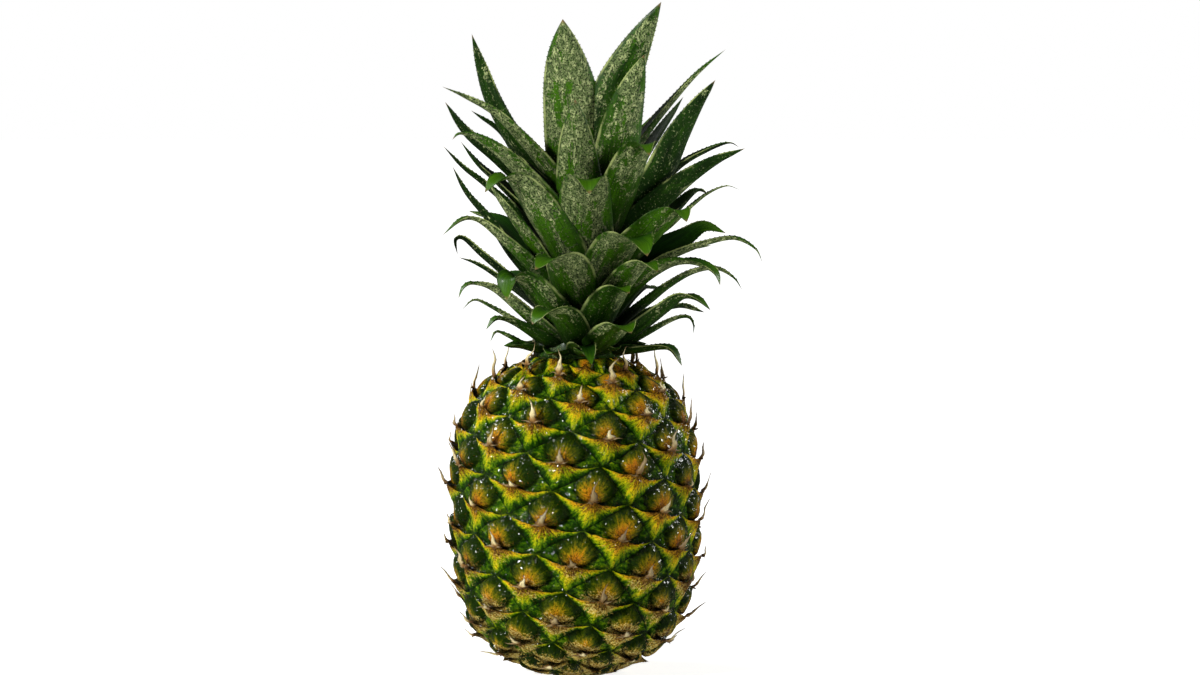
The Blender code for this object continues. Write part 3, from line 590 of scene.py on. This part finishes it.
def ring_shell(rings, columns, tip):
    """Quads between rings that run out along one face and back along the other, closed at root and tip."""
    count = 2 * columns - 2
    faces, inner = [], []
    for ring in range(rings - 1):
        for column in range(count):
            a = ring * count + column
            b = ring * count + (column + 1) % count
            faces.append((a, a + count, b + count, b))
            inner.append(1.0 if column < columns - 1 else 0.0)
    last = (rings - 1) * count
    for column in range(count):
        faces.append((last + column, tip, last + (column + 1) % count))
        inner.append(1.0 if column < columns - 1 else 0.0)
    # the root is closed by a strip between the two faces, because its outline is a crescent
    faces.append((0, 1, count - 1))
    for column in range(1, columns - 2):
        faces.append((column, column + 1, count - column - 1, count - column))
    faces.append((columns - 2, columns - 1, columns))
    inner += [0.0] * (columns - 1)
    return faces, inner


def add_strip(shells, frame, reach, lift, ring, width, shares, length, seed, tone, flipped=False):
    """A closed strip from its midrib's frame, and how far each spot of its section reaches and lifts."""
    spots, side, face = frame
    grid = spots[:, None, :] + side[:, None, :] * reach[:, :, None]
    grid = grid + face[:, None, :] * lift[:, :, None]
    places = np.stack(np.broadcast_arrays(width[:, None] * ring, (shares * length)[:, None], seed), axis=-1)
    kinds = np.stack(np.broadcast_arrays(ring, shares[:, None], tone), axis=-1)
    rings = len(spots) - 1
    ends = (spots[-1], (0, length, seed), (0, 1, tone))
    points, places, kinds = (
        np.vstack([rows[:rings].reshape(-1, 3), [end]]) for rows, end in zip((grid, places, kinds), ends)
    )
    faces, inner = ring_shell(rings, len(ring) // 2 + 1, len(points) - 1)
    if flipped:
        faces = [corners[::-1] for corners in faces]
    shells.add(points, faces, places, kinds, inner)
    return grid


def add_blade(shells, leaf, number, toothed):
    """One cupped, pointed leaf with a lens-shaped section, and the small teeth of its edges."""
    scurf, width, taper, facing, twist, points = leaf
    seed = number * LEAF_SEED_STEP
    shares = 1 - (1 - np.linspace(0, 1, LEAF_STATIONS)) ** 1.2
    spots, direction, length = smooth_path(points, shares)
    angle = math.radians(facing)
    flat = np.array([-math.sin(angle), math.cos(angle), 0.0])
    side, inward = twist_frame(direction, flat, np.radians(twist) * shares)
    widening = np.clip(shares / 0.35, 0, 1)
    widening = 0.75 + 0.25 * widening**2 * (3 - 2 * widening)
    half = width / 2 * widening * (1 - shares**taper)
    cup = 0.34 + 0.2 * (1 - shares)
    ring, layer = blade_ring(np.sin(np.linspace(-1, 1, LEAF_COLUMNS) * math.pi / 2))
    thick = np.minimum(BLADE_THICKNESS / 2, half * 0.3)[:, None] * (1 - np.abs(ring) ** 3)[None, :]
    phase = random.Random(2000 + number).uniform(0, 2 * math.pi)
    ripple = 0.3 * np.sin(shares * length / 9 + phase) * smooth_step(shares, 0.2, 0.6)
    ripple *= np.minimum(half / 8, 1)
    lift = (half * cup)[:, None] * (ring**2 - MIDRIB_DIP)[None, :] + layer[None, :] * thick
    lift += ripple[:, None] * (np.abs(ring) ** 3 * np.sign(ring))[None, :]
    frame = spots, side, inward
    grid = add_strip(shells, frame, half[:, None] * ring, lift, ring, half, shares, length, seed, scurf)
    if toothed:
        add_teeth(shells, grid, shares * length, (side, direction, inward), seed, scurf)


def add_teeth(shells, grid, distance, frame, seed, scurf):
    """Small hooked teeth along both edges of a leaf, pointing to its tip."""
    spots = np.arange(0.2 * distance[-1], 0.93 * distance[-1], TOOTH_SPACING)
    out, ahead, up = (values_at(spots, distance, rows) for rows in frame)
    for column, sign in ((0, -1), (LEAF_COLUMNS - 1, 1)):
        base = values_at(spots, distance, grid[:, column])
        for p, s, f, n, run in zip(base, out * sign, ahead, up, spots):
            root = p - 0.15 * s
            points = np.array([root - 0.5 * f, root + 0.4 * f, root + 0.3 * n, p + 0.36 * s + 0.55 * f])
            faces = [(0, 2, 1), (0, 1, 3), (1, 2, 3), (2, 0, 3)]
            if np.dot(np.cross(points[1] - points[0], points[2] - points[0]), points[3] - points[0]) < 0:
                faces = [face[::-1] for face in faces]
            place = np.tile((0.0, run, seed), (4, 1))
            kind = np.tile((sign, run / distance[-1], scurf), (4, 1))
            shells.add(points, faces, place, kind, [1.0] * 4)


def stem_centre(height):
    return STEM_BASE_SHIFT + STEM_LEAN * (height - SHOULDER_HEIGHT)


def ruled_leaf(name, chance, facing, root, length, slopes, width, steps):
    """A leaf from its root's height and reach. Its slope (degrees) falls off more and more to the tip."""
    heading = math.radians(facing)
    height, reach = root
    rise, fall = slopes
    centre = stem_centre(height)
    scurf = 0.35 + 0.45 * (height - 150) / 60 + random.Random(name).uniform(-0.15, 0.15)
    points = []
    for step in range(steps):
        share = step / (steps - 1)
        points.append((centre + reach * math.cos(heading), reach * math.sin(heading), height))
        slope = math.radians(rise - fall * share**2)
        reach += length / (steps - 1) * math.cos(slope)
        height += length / (steps - 1) * math.sin(slope)
    return min(max(scurf, 0.15), 0.9), width, 2.6, facing, chance.uniform(-12, 12), points


def hidden_leaves():
    """Leaves round the back, from the low outer ones to the steep inner ones."""
    leaves = []
    for index in range(HIDDEN_LEAVES):
        level = index / (HIDDEN_LEAVES - 1)
        chance = random.Random(500 + index)
        side = 2 * ((index * 0.618) % 1.0) - 1
        facing = 87 + (62 - 22 * level) * side + chance.uniform(-4, 4)
        length = (46 + 42 * math.sin(math.pi * (0.08 + 0.8 * level))) * chance.uniform(0.92, 1.06)
        root = (151.5 + 52 * level, 14 - 9 * level)
        slopes = (36 + 40 * level, 88 - 66 * level + chance.uniform(-8, 12))
        width = 17 + 5 * math.sin(math.pi * level)
        leaves.append(ruled_leaf(f"back_{index:02d}", chance, facing, root, length, slopes, width, 5))
    return leaves


def collar_leaves():
    """Short leaves that close the foot of the crown all round."""
    leaves = []
    for index in range(COLLAR_LEAVES):
        chance = random.Random(900 + index)
        facing = 12 + 360 * index / COLLAR_LEAVES + chance.uniform(-7, 7)
        length = chance.uniform(18, 23)
        slopes = (chance.uniform(8, 18), 42)
        leaves.append(ruled_leaf(f"collar_{index:02d}", chance, facing, COLLAR_ROOT, length, slopes, 16, 4))
    return leaves


def build_leaves(material):
    """The crown's leaves, a piece for each side of it and one for the collar."""
    groups = (
        ("leaves_front", FRONT_LEAVES), ("leaves_left", LEFT_LEAVES), ("leaves_right", RIGHT_LEAVES),
        ("leaves_back", hidden_leaves()), ("leaves_collar", collar_leaves()),
    )
    pieces, number = [], 0
    for name, leaves in groups:
        shells = Shells()
        for leaf in leaves:
            number += 1
            add_blade(shells, leaf, number, name != "leaves_collar")
        pieces.append(shells.build(name, material))
    return pieces


def build_stem(material):
    """The short stem inside the crown, which shows in the gaps between the leaf bases."""
    heights = np.array([148.9, 150, 157, 177, 197, 214])
    radii = np.array([20.5, 20.5, 18.5, 13.5, 9.0, 4.5])
    sides = 40
    turn = np.linspace(0, 2 * math.pi, sides, endpoint=False)
    rings = [
        np.column_stack([stem_centre(z) + r * np.cos(turn), r * np.sin(turn), np.full(sides, z)])
        for z, r in zip(heights, radii)
    ]
    points = np.vstack(rings + [[(stem_centre(148.9), 0, 148.9), (stem_centre(216), 0, 216)]])
    faces = []
    for ring in range(len(heights) - 1):
        for corner in range(sides):
            a, b = ring * sides + corner, ring * sides + (corner + 1) % sides
            faces.append((a, b, b + sides, a + sides))
    last = (len(heights) - 1) * sides
    for corner in range(sides):
        after = (corner + 1) % sides
        faces.append((after, corner, len(points) - 2))
        faces.append((last + corner, last + after, len(points) - 1))
    stem = make_piece("crown_stem", points, faces)
    places = np.column_stack([points[:, 0] * 2, points[:, 2], np.full(len(points), 999.0)])
    store(stem, "place", places, "POINT")
    store(stem, "kind", np.tile((0.0, 0.6, 0.35), (len(points), 1)), "POINT")
    stem.data.materials.append(material)
    return stem


def add_paper(shells, chance, joints, side, width, twist, seed, tone):
    """A thin, dry strip along the joints, cupped and ragged, that narrows to a point."""
    shares = np.linspace(0, 1, SPINE_STATIONS)
    spots, direction, run = smooth_path(joints, shares)
    across, inward = twist_frame(direction, side, -np.radians(twist) * shares**1.5)
    width = width * (1 - smooth_step(shares, 0.05, 0.75) * 0.68) * (1 - shares**3)
    left, right = (np.array([chance.uniform(0.55, 1.3) for share in shares]) for edge in range(2))
    ring, layer = blade_ring(np.linspace(-1, 1, SPINE_COLUMNS))
    reach = np.where(ring[None, :] < 0, left[:, None], right[:, None]) * ring[None, :]
    lift = width[:, None] * 0.2 * (0.4 - ring**2)[None, :]
    lift = lift + layer[None, :] * 0.26 * (1 - 0.6 * shares)[:, None]
    reach = width[:, None] / 2 * reach
    add_strip(shells, (spots, across, -inward), reach, lift, ring, width, shares, run, seed, tone, True)


def add_spine(shells, steep, gentle):
    """A dry, curved, papery blade from the tip of one bract, with shreds on both sides of its root."""
    index = eye_index(steep, gentle)
    chance = random.Random(1000 + index)
    turn, arc = lattice_place(np.array([steep + ROOT_SHIFT]), np.array([gentle + ROOT_SHIFT]))
    turn, arc = (values[0] for values in wander(turn, arc))
    height, radial, up = outline_at(arc)[1:]
    size = eye_chances(np.array([index]), 0, *EYE_SIZES)[0]
    base = surface_point(turn, arc, BRACT_HEIGHT * (size - 1) - ROOT_DEPTH)
    out = np.array([radial * math.sin(turn), -radial * math.cos(turn), up])
    side = np.array([math.cos(turn), math.sin(turn), 0.0])
    rise = np.cross(side, out)
    if rise[2] < 0:
        rise = -rise
    length = chance.uniform(8.0, 12.5)
    sway = chance.uniform(-0.45, 0.45)
    spread = chance.uniform(0.22, 0.5)
    # every second spine is the part's own and keeps its size, and the others are shorter
    low, high = PART_SPINE_HEIGHTS
    if index % 2 or not low < height < high:
        length *= chance.uniform(0.36, 0.8)
        spread *= chance.uniform(0.15, 0.7)
    if height >= high:
        length = chance.uniform(8.0, 13.0)
        rise = rise * 0.4 + np.array([0, 0, 1.0])
        rise /= np.linalg.norm(rise)
    kink = chance.uniform(-0.2, 0.2)
    bends = ((0.06, 0.2, 0.0), (0.5 * spread, 0.55, 0.3 * sway + kink), (spread, 0.92, sway))
    joints = [base]
    for outward, upward, sideways in bends:
        step = out * outward + rise * upward + side * sideways
        joints.append(base + out * ROOT_DEPTH + step * length)
    width, twist, tone = chance.uniform(3.6, 5.8), chance.uniform(-80, 80), chance.uniform(0, 1)
    seed = index * SPINE_SEED_STEP
    add_paper(shells, chance, joints, side, width, twist, seed, tone)
    for sign in (-1, 1):
        if chance.random() < 0.35:
            continue
        reach = chance.uniform(2.0, 6.0)
        root = base + out * 0.6 + side * sign * 0.5
        middle = root + side * sign * reach * 0.55 + out * 0.9 + rise * chance.uniform(-0.2, 0.6)
        tip = root + side * sign * reach + out * chance.uniform(0.2, 1.2) + rise * chance.uniform(-0.8, 1.4)
        width, twist = chance.uniform(0.9, 2.0), chance.uniform(-40, 40)
        add_paper(shells, chance, [root, middle, tip], rise, width, twist, seed + sign, 0.9)


def build_spines(material):
    shells = Shells()
    lowest, highest = SPINE_HEIGHTS
    for steep in range(GENTLE_ROWS):
        for gentle in range(-SPINE_SEARCH, SPINE_SEARCH):
            height = np.interp(lattice_place(steep, gentle)[1], ARC, ARC_HEIGHT)
            if TOP_EYE < eye_index(steep, gentle) < BOTTOM_EYE and lowest < height < highest:
                add_spine(shells, steep, gentle)
    return shells.build("dry_spines", material)


class Nodes:
    """Short names for the shader nodes that the materials are made of."""

    def __init__(self, name):
        self.material = bpy.data.materials.new(name)
        self.material.use_nodes = True
        self.tree = self.material.node_tree
        self.surface = self.tree.nodes["Principled BSDF"]

    def put(self, value, socket):
        if isinstance(value, bpy.types.NodeSocket):
            self.tree.links.new(value, socket)
        else:
            socket.default_value = value

    def make(self, kind, inputs, **settings):
        """A new node with its settings, and a value or a link for each socket named."""
        node = self.tree.nodes.new("ShaderNode" + kind)
        for name, value in settings.items():
            setattr(node, name, value)
        for socket, value in inputs.items():
            self.put(value, node.inputs[socket])
        return node

    def read(self, name):
        """The vector that the mesh keeps under this name."""
        return self.make("Attribute", {}, attribute_name=name).outputs["Vector"]

    def parts(self, vector):
        return self.make("SeparateXYZ", {0: vector}).outputs[:3]

    def maths(self, operation, *values):
        return self.make("Math", dict(enumerate(values)), operation=operation).outputs[0]

    def times(self, a, b):
        return self.maths("MULTIPLY", a, b)

    def plus(self, total, *others):
        for other in others:
            total = self.maths("ADD", total, other)
        return total

    def scaled(self, value, scale, shift):
        return self.maths("MULTIPLY_ADD", value, scale, shift)

    def stretch(self, vector, scale):
        return self.make("VectorMath", {0: vector, 1: scale}, operation="MULTIPLY").outputs[0]

    def noise(self, vector, scale, detail, roughness):
        """Noise from 0 to 1. A tuple stretches it in each direction, and a number in all alike."""
        if isinstance(scale, tuple):
            vector, scale = self.stretch(vector, scale), 1.0
        inputs = {"Vector": vector, "Scale": scale, "Detail": detail, "Roughness": roughness}
        return self.make("TexNoise", inputs).outputs[0]

    def step(self, value, low, high):
        """0 below low and 1 above high, smooth between."""
        inputs = {"Value": value, "From Min": low, "From Max": high}
        return self.make("MapRange", inputs, interpolation_type="SMOOTHSTEP").outputs[0]

    def ramp(self, value, stops):
        made = self.make("ValToRGB", {0: value})
        elements = made.color_ramp.elements
        while len(elements) < len(stops):
            elements.new(0.5)
        for element, (place, colour) in zip(elements, stops):
            element.position = place
            element.color = (*colour, 1.0)
        return made.outputs[0]

    def mix(self, share, a, b):
        a, b = ((*value, 1.0) if isinstance(value, tuple) else value for value in (a, b))
        return self.make("Mix", {0: share, 6: a, 7: b}, data_type="RGBA", clamp_factor=True).outputs[2]

    def lay(self, colour, share, strength, over):
        """Lays a second colour over the first where share says, at most as strong as strength."""
        return self.mix(self.times(share, strength), colour, over)

    def bump(self, height, strength, distance, socket="Normal"):
        made = self.make("Bump", {"Strength": strength, "Distance": distance * MM, "Height": height})
        self.put(made.outputs[0], self.surface.inputs[socket])

    def object_place(self):
        """The spot on the object in millimetres."""
        return self.stretch(self.make("TexCoord", {}).outputs["Object"], (1000.0, 1000.0, 1000.0))

    def shade(self, values):
        """Gives the surface's shader its values and links."""
        for name, value in values.items():
            self.put(value, self.surface.inputs[name])


def rind_material():
    """Wet, waxy rind: lime and yellow bracts, olive domes with an amber patch, and rusty specks."""
    n = Nodes("rind")
    yellow, amber, brown = n.parts(n.read("paint"))
    painted_groove_shade, dry, bract = n.parts(n.read("wear_and_shade"))
    ray = n.read("ray")
    place = n.object_place()
    streaks = n.noise(ray, (1.1, 0.2, 1.0), 3.0, 0.65)
    fibres = n.noise(ray, (1.9, 0.33, 1.0), 3.0, 0.7)
    blotches = n.noise(place, 0.16, 3.0, 0.6)
    specks = n.noise(place, 0.8, 4.0, 0.75)
    grain = n.noise(place, 1.2, 3.0, 0.7)
    broken = n.scaled(streaks, 1.1, -0.55)
    broken = n.scaled(blotches, 0.5, n.plus(broken, -0.25))
    broken = n.scaled(specks, 0.4, n.plus(broken, -0.2))
    leaf_green = n.ramp(n.plus(yellow, broken), [
        (0.0, (0.003, 0.018, 0.001)), (0.24, (0.016, 0.074, 0.001)), (0.42, (0.11, 0.24, 0.003)),
        (0.60, (0.46, 0.54, 0.005)), (0.80, (0.92, 0.72, 0.010)), (1.0, (0.95, 0.48, 0.014)),
    ])
    dome = n.ramp(n.plus(amber, broken), [
        (0.0, (0.010, 0.028, 0.001)), (0.22, (0.052, 0.078, 0.002)), (0.42, (0.16, 0.16, 0.004)),
        (0.62, (0.42, 0.28, 0.007)), (0.82, (0.80, 0.36, 0.010)), (1.0, (0.86, 0.30, 0.012)),
    ])
    colour = n.mix(bract, dome, leaf_green)
    # worn, speckled cork round the spines' roots, most of all low on the fruit
    worn = n.step(n.plus(n.times(dry, 0.5), specks, n.times(blotches, 0.4)), 0.92, 1.02)
    cork = n.ramp(grain, [
        (0.37, (0.040, 0.014, 0.002)), (0.44, (0.46, 0.19, 0.018)), (0.50, (1.0, 0.70, 0.13)),
        (0.60, (1.0, 0.90, 0.34)),
    ])
    colour = n.lay(colour, worn, 0.9, cork)
    # rust round the spine's root, broken into short fibres
    rusty = n.plus(n.times(brown, 0.34), n.times(fibres, 0.8), n.times(specks, 0.9))
    rusty = n.step(rusty, 1.03, 1.13)
    rust = n.mix(n.step(grain, 0.44, 0.56), (0.020, 0.008, 0.002), (0.34, 0.13, 0.02))
    colour = n.lay(colour, rusty, 0.9, rust)
    dots = n.times(n.step(n.noise(place, 1.1, 1.0, 0.5), 0.52, 0.60), n.step(brown, 0.1, 0.6))
    colour = n.lay(colour, dots, 0.7, (0.11, 0.038, 0.006))
    # dark cracks and splits along the fibres, and deep green blots
    cracks = n.step(n.maths("ABSOLUTE", n.plus(fibres, -0.47)), 0.03, 0.0)
    colour = n.lay(colour, cracks, 0.5, (0.010, 0.022, 0.001))
    splits = n.step(n.scaled(brown, 0.06, n.noise(ray, (2.1, 0.5, 1.0), 3.0, 0.7)), 0.60, 0.66)
    colour = n.lay(colour, splits, 0.85, (0.016, 0.010, 0.001))
    blots = n.step(n.noise(place, 0.8, 4.0, 0.8), 0.50, 0.38)
    colour = n.lay(colour, blots, 0.7, (0.005, 0.020, 0.001))
    # painted shade: the colour goes near black in the creases round the domes, under the lips and in the
    # grooves between eyes
    colour = n.mix(n.maths("SUBTRACT", 1.0, painted_groove_shade), colour, (0.001, 0.004, 0.0005))
    wet = n.step(n.noise(place, 0.3, 3.0, 0.6), 0.44, 0.54)
    n.shade({
        "Base Color": colour,
        "Roughness": n.plus(n.times(specks, 0.3), n.times(rusty, 0.2), 0.45),
        "Specular IOR Level": 0.05,
        "Specular Tint": (0.6, 0.9, 0.2, 1.0),
        "Coat Weight": n.times(wet, 0.9),
        "Coat Roughness": 0.06,
    })
    n.bump(n.plus(fibres, specks), 1.0, 0.8)
    n.bump(n.noise(place, 0.35, 1.0, 0.5), 1.0, 2.6, "Coat Normal")
    return n.material


def leaf_material():
    """Leaf: grey, speckled scurf outside, rubbed through to glossy green, and plain green inside."""
    n = Nodes("leaf")
    place = n.read("place")
    across, along, scurf = n.parts(n.read("kind"))
    inner = n.make("Attribute", {}, attribute_name="inner").outputs["Fac"]
    fibres = n.noise(place, (1.5, 0.06, 1.0), 3.0, 0.6)
    bands = n.noise(place, (0.28, 0.05, 1.0), 3.0, 0.6)
    rubbed = n.noise(place, (0.10, 0.035, 1.0), 3.0, 0.65)
    flecks = n.noise(place, (1.0, 0.8, 1.0), 2.0, 0.6)
    pepper = n.step(n.noise(place, (1.4, 1.0, 1.0), 1.0, 0.5), 0.50, 0.39)
    mottles = n.noise(place, (0.5, 0.3, 1.0), 4.0, 0.8)
    green = n.ramp(n.scaled(scurf, 0.5, n.times(bands, 0.7)), [
        (0.3, (0.003, 0.013, 0.001)), (0.52, (0.012, 0.048, 0.001)), (0.8, (0.055, 0.17, 0.002)),
    ])
    grey = n.ramp(n.scaled(fibres, 0.2, n.times(mottles, 0.8)), [
        (0.36, (0.070, 0.11, 0.030)), (0.5, (0.165, 0.225, 0.075)), (0.60, (0.56, 0.63, 0.27)),
    ])
    # the scurf lies in patches, thickest towards the tip, and breaks up into dots at their edges
    off_midrib = n.maths("ABSOLUTE", across)
    edge = n.step(off_midrib, 0.72, 0.98)
    cover = n.plus(n.times(scurf, 0.9), n.times(rubbed, 3.0), n.times(n.step(along, 0.2, 0.7), 0.45))
    cover = n.plus(cover, n.scaled(fibres, 0.4, n.times(mottles, 0.4)))
    cover = n.step(n.maths("SUBTRACT", cover, n.times(edge, 0.3)), 2.65, 3.05)
    cover = n.step(n.scaled(flecks, 3.6, n.plus(cover, -1.8)), 0.3, 0.66)
    outside = n.mix(cover, green, grey)
    pepper = n.times(pepper, n.scaled(cover, 0.45, 0.4))
    outside = n.mix(pepper, outside, (0.003, 0.012, 0.001))
    outside = n.lay(outside, n.step(fibres, 0.57, 0.63), 0.7, (0.006, 0.024, 0.001))
    bright = n.ramp(n.scaled(n.step(along, 0.6, 1.0), 0.5, n.times(fibres, 0.5)), [
        (0.2, (0.003, 0.018, 0.001)), (0.5, (0.012, 0.058, 0.001)), (0.9, (0.08, 0.21, 0.003)),
    ])
    colour = n.mix(inner, outside, bright)
    # dark margins with dried stretches, painted shade darkening each leaf's foot, and a brown tip
    colour = n.lay(colour, edge, 0.45, (0.006, 0.028, 0.002))
    dried = n.times(n.step(off_midrib, 0.88, 0.96), n.step(rubbed, 0.47, 0.58))
    colour = n.lay(colour, dried, 0.75, (0.46, 0.54, 0.18))
    # painted shade: the foot of every leaf goes towards near-black green, where the leaves overlap
    colour = n.lay(colour, n.step(along, 0.6, 0.1), 0.8, (0.002, 0.010, 0.001))
    tip = n.step(n.plus(along, n.times(flecks, 0.03)), 0.985, 1.01)
    colour = n.mix(tip, colour, (0.20, 0.13, 0.05))
    matt = n.times(cover, n.maths("SUBTRACT", 1.0, inner))
    n.shade({
        "Base Color": colour,
        "Roughness": n.scaled(matt, 0.25, 0.40),
        "Specular IOR Level": 0.18,
        "Coat Weight": 0.04,
        "Coat Roughness": 0.15,
    })
    n.bump(n.plus(n.times(fibres, 0.9), n.times(n.times(flecks, matt), 1.6)), 0.8, 0.4)
    return n.material


def spine_material():
    """Dry, papery spine: rusty at its root, cream along its blade and grey-brown at its tip."""
    n = Nodes("spine")
    place = n.read("place")
    across, along, tone = n.parts(n.read("kind"))
    fibres = n.noise(place, (2.5, 0.3, 1.0), 3.0, 0.6)
    colour = n.ramp(n.plus(along, n.scaled(fibres, 0.4, -0.2)), [
        (0.0, (0.10, 0.035, 0.006)), (0.15, (0.42, 0.20, 0.030)), (0.28, (0.92, 0.76, 0.36)),
        (0.66, (0.98, 0.88, 0.50)), (0.85, (0.42, 0.30, 0.11)), (1.0, (0.10, 0.06, 0.020)),
    ])
    dark = n.step(n.noise(place, (1.6, 0.5, 1.0), 3.0, 0.7), 0.50, 0.62)
    colour = n.lay(colour, dark, 0.7, (0.14, 0.07, 0.02))
    colour = n.lay(colour, n.step(tone, 0.3, 0.9), 0.8, (0.20, 0.11, 0.03))
    border = n.plus(n.maths("ABSOLUTE", across), n.scaled(fibres, 0.8, -0.4))
    colour = n.lay(colour, n.step(border, 0.5, 0.95), 0.75, (0.13, 0.06, 0.015))
    n.shade({"Base Color": colour, "Roughness": 0.55, "Coat Weight": 0.1})
    n.bump(fibres, 0.6, 0.3)
    return n.material


def stalk_material():
    """The cut end of the stalk: pale fibrous wood with darker vessels and a brown rim."""
    n = Nodes("stalk_cut")
    place = n.object_place()
    x, y = n.parts(place)[:2]
    radius = n.maths("SQRT", n.plus(n.times(x, x), n.times(y, y)))
    vessels = n.noise(n.stretch(place, (1.0, 1.0, 0.1)), 1.1, 3.0, 0.7)
    patches = n.noise(place, 0.25, 2.0, 0.5)
    colour = n.ramp(n.scaled(vessels, 0.7, n.times(patches, 0.3)), [
        (0.3, (0.11, 0.055, 0.02)), (0.5, (0.34, 0.22, 0.10)), (0.7, (0.52, 0.40, 0.22)),
    ])
    colour = n.mix(n.step(radius, 9.5, 11.8), colour, (0.10, 0.05, 0.02))
    n.shade({"Base Color": colour, "Roughness": 0.8})
    n.bump(vessels, 0.8, 0.5)
    return n.material


def build_floor():
    """A wide, plain, pale floor."""
    bpy.ops.mesh.primitive_plane_add(size=60)
    floor = bpy.context.object
    floor.name = "floor"
    n = Nodes("floor")
    seen = n.make("LightPath", {}).outputs["Is Camera Ray"]
    n.shade({
        "Base Color": (0.86, 0.86, 0.85, 1.0),
        "Roughness": 0.9,
        "Emission Color": (1.0, 1.0, 1.0, 1.0),
        "Emission Strength": n.scaled(seen, 0.54, 0.26),
    })
    floor.data.materials.append(n.material)
    floor.visible_glossy = False


def aim(item, target):
    item.rotation_euler = (Vector(target) - item.location).to_track_quat("-Z", "Y").to_euler()


def add_light(name, kind, place, target, energy, size, beam=180):
    light = bpy.data.lights.new(name, kind)
    light.energy = energy
    if kind == "SUN":
        light.angle = math.radians(size)
    else:
        light.size = size
        light.spread = math.radians(beam)
    item = bpy.data.objects.new(name, light)
    item.location = place
    aim(item, target)
    bpy.context.scene.collection.objects.link(item)


def build_studio():
    """A soft sun from the left, rims behind, a narrow fill on the crown, and a pale backdrop."""
    middle = (0.0, 0.0, 0.13)
    add_light("key", "SUN", (-1.3, -1.05, 1.0), middle, 2.9, 6)
    add_light("rim_right", "AREA", (0.72, 0.34, 0.35), middle, 2.4, 0.22)
    add_light("rim_left", "AREA", (-0.7, 0.5, 0.5), (0.0, 0.0, 0.2), 2.5, 0.2)
    add_light("crown_fill", "AREA", (0.62, -0.5, 0.42), (0.07, 0.0, 0.27), 0.05, 0.15, 18)
    world = bpy.data.worlds.new("studio")
    world.use_nodes = True
    tree = world.node_tree
    fill = tree.nodes["Background"]
    backdrop = tree.nodes.new("ShaderNodeBackground")
    both = tree.nodes.new("ShaderNodeMixShader")
    for number, (light, strength) in enumerate(((fill, 0.07), (backdrop, 1.0))):
        light.inputs["Color"].default_value = (1.0, 1.0, 1.0, 1.0)
        light.inputs["Strength"].default_value = strength
        tree.links.new(light.outputs[0], both.inputs[number + 1])
    rays = tree.nodes.new("ShaderNodeLightPath")
    tree.links.new(rays.outputs["Is Camera Ray"], both.inputs[0])
    tree.links.new(both.outputs[0], tree.nodes["World Output"].inputs["Surface"])
    bpy.context.scene.world = world
    bpy.context.scene.view_settings.view_transform = "Standard"


def build_camera():
    lens = bpy.data.cameras.new("camera")
    lens.lens = CAMERA_LENS
    camera = bpy.data.objects.new("camera", lens)
    bpy.context.scene.collection.objects.link(camera)
    back = Vector((0.0, -math.cos(CAMERA_RISE), math.sin(CAMERA_RISE)))
    camera.location = CAMERA_TARGET + CAMERA_DISTANCE * back
    aim(camera, CAMERA_TARGET)
    bpy.context.scene.camera = camera


def dress(frame):
    """The pieces that stand for the part's nodes, and the stalk's better finish."""
    rind, leaf, spine = rind_material(), leaf_material(), spine_material()
    for piece in (build_rind(rind), build_spines(spine)):
        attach(piece, "root")
        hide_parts("fruit")
    for piece in [*build_leaves(leaf), build_stem(leaf)]:
        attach(piece, "root")
        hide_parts("crown")
    for slot in frame["nodes"]["cut_stalk"].material_slots:
        slot.material = stalk_material()


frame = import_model()
dress(frame)
build_floor()
build_studio()
build_camera()
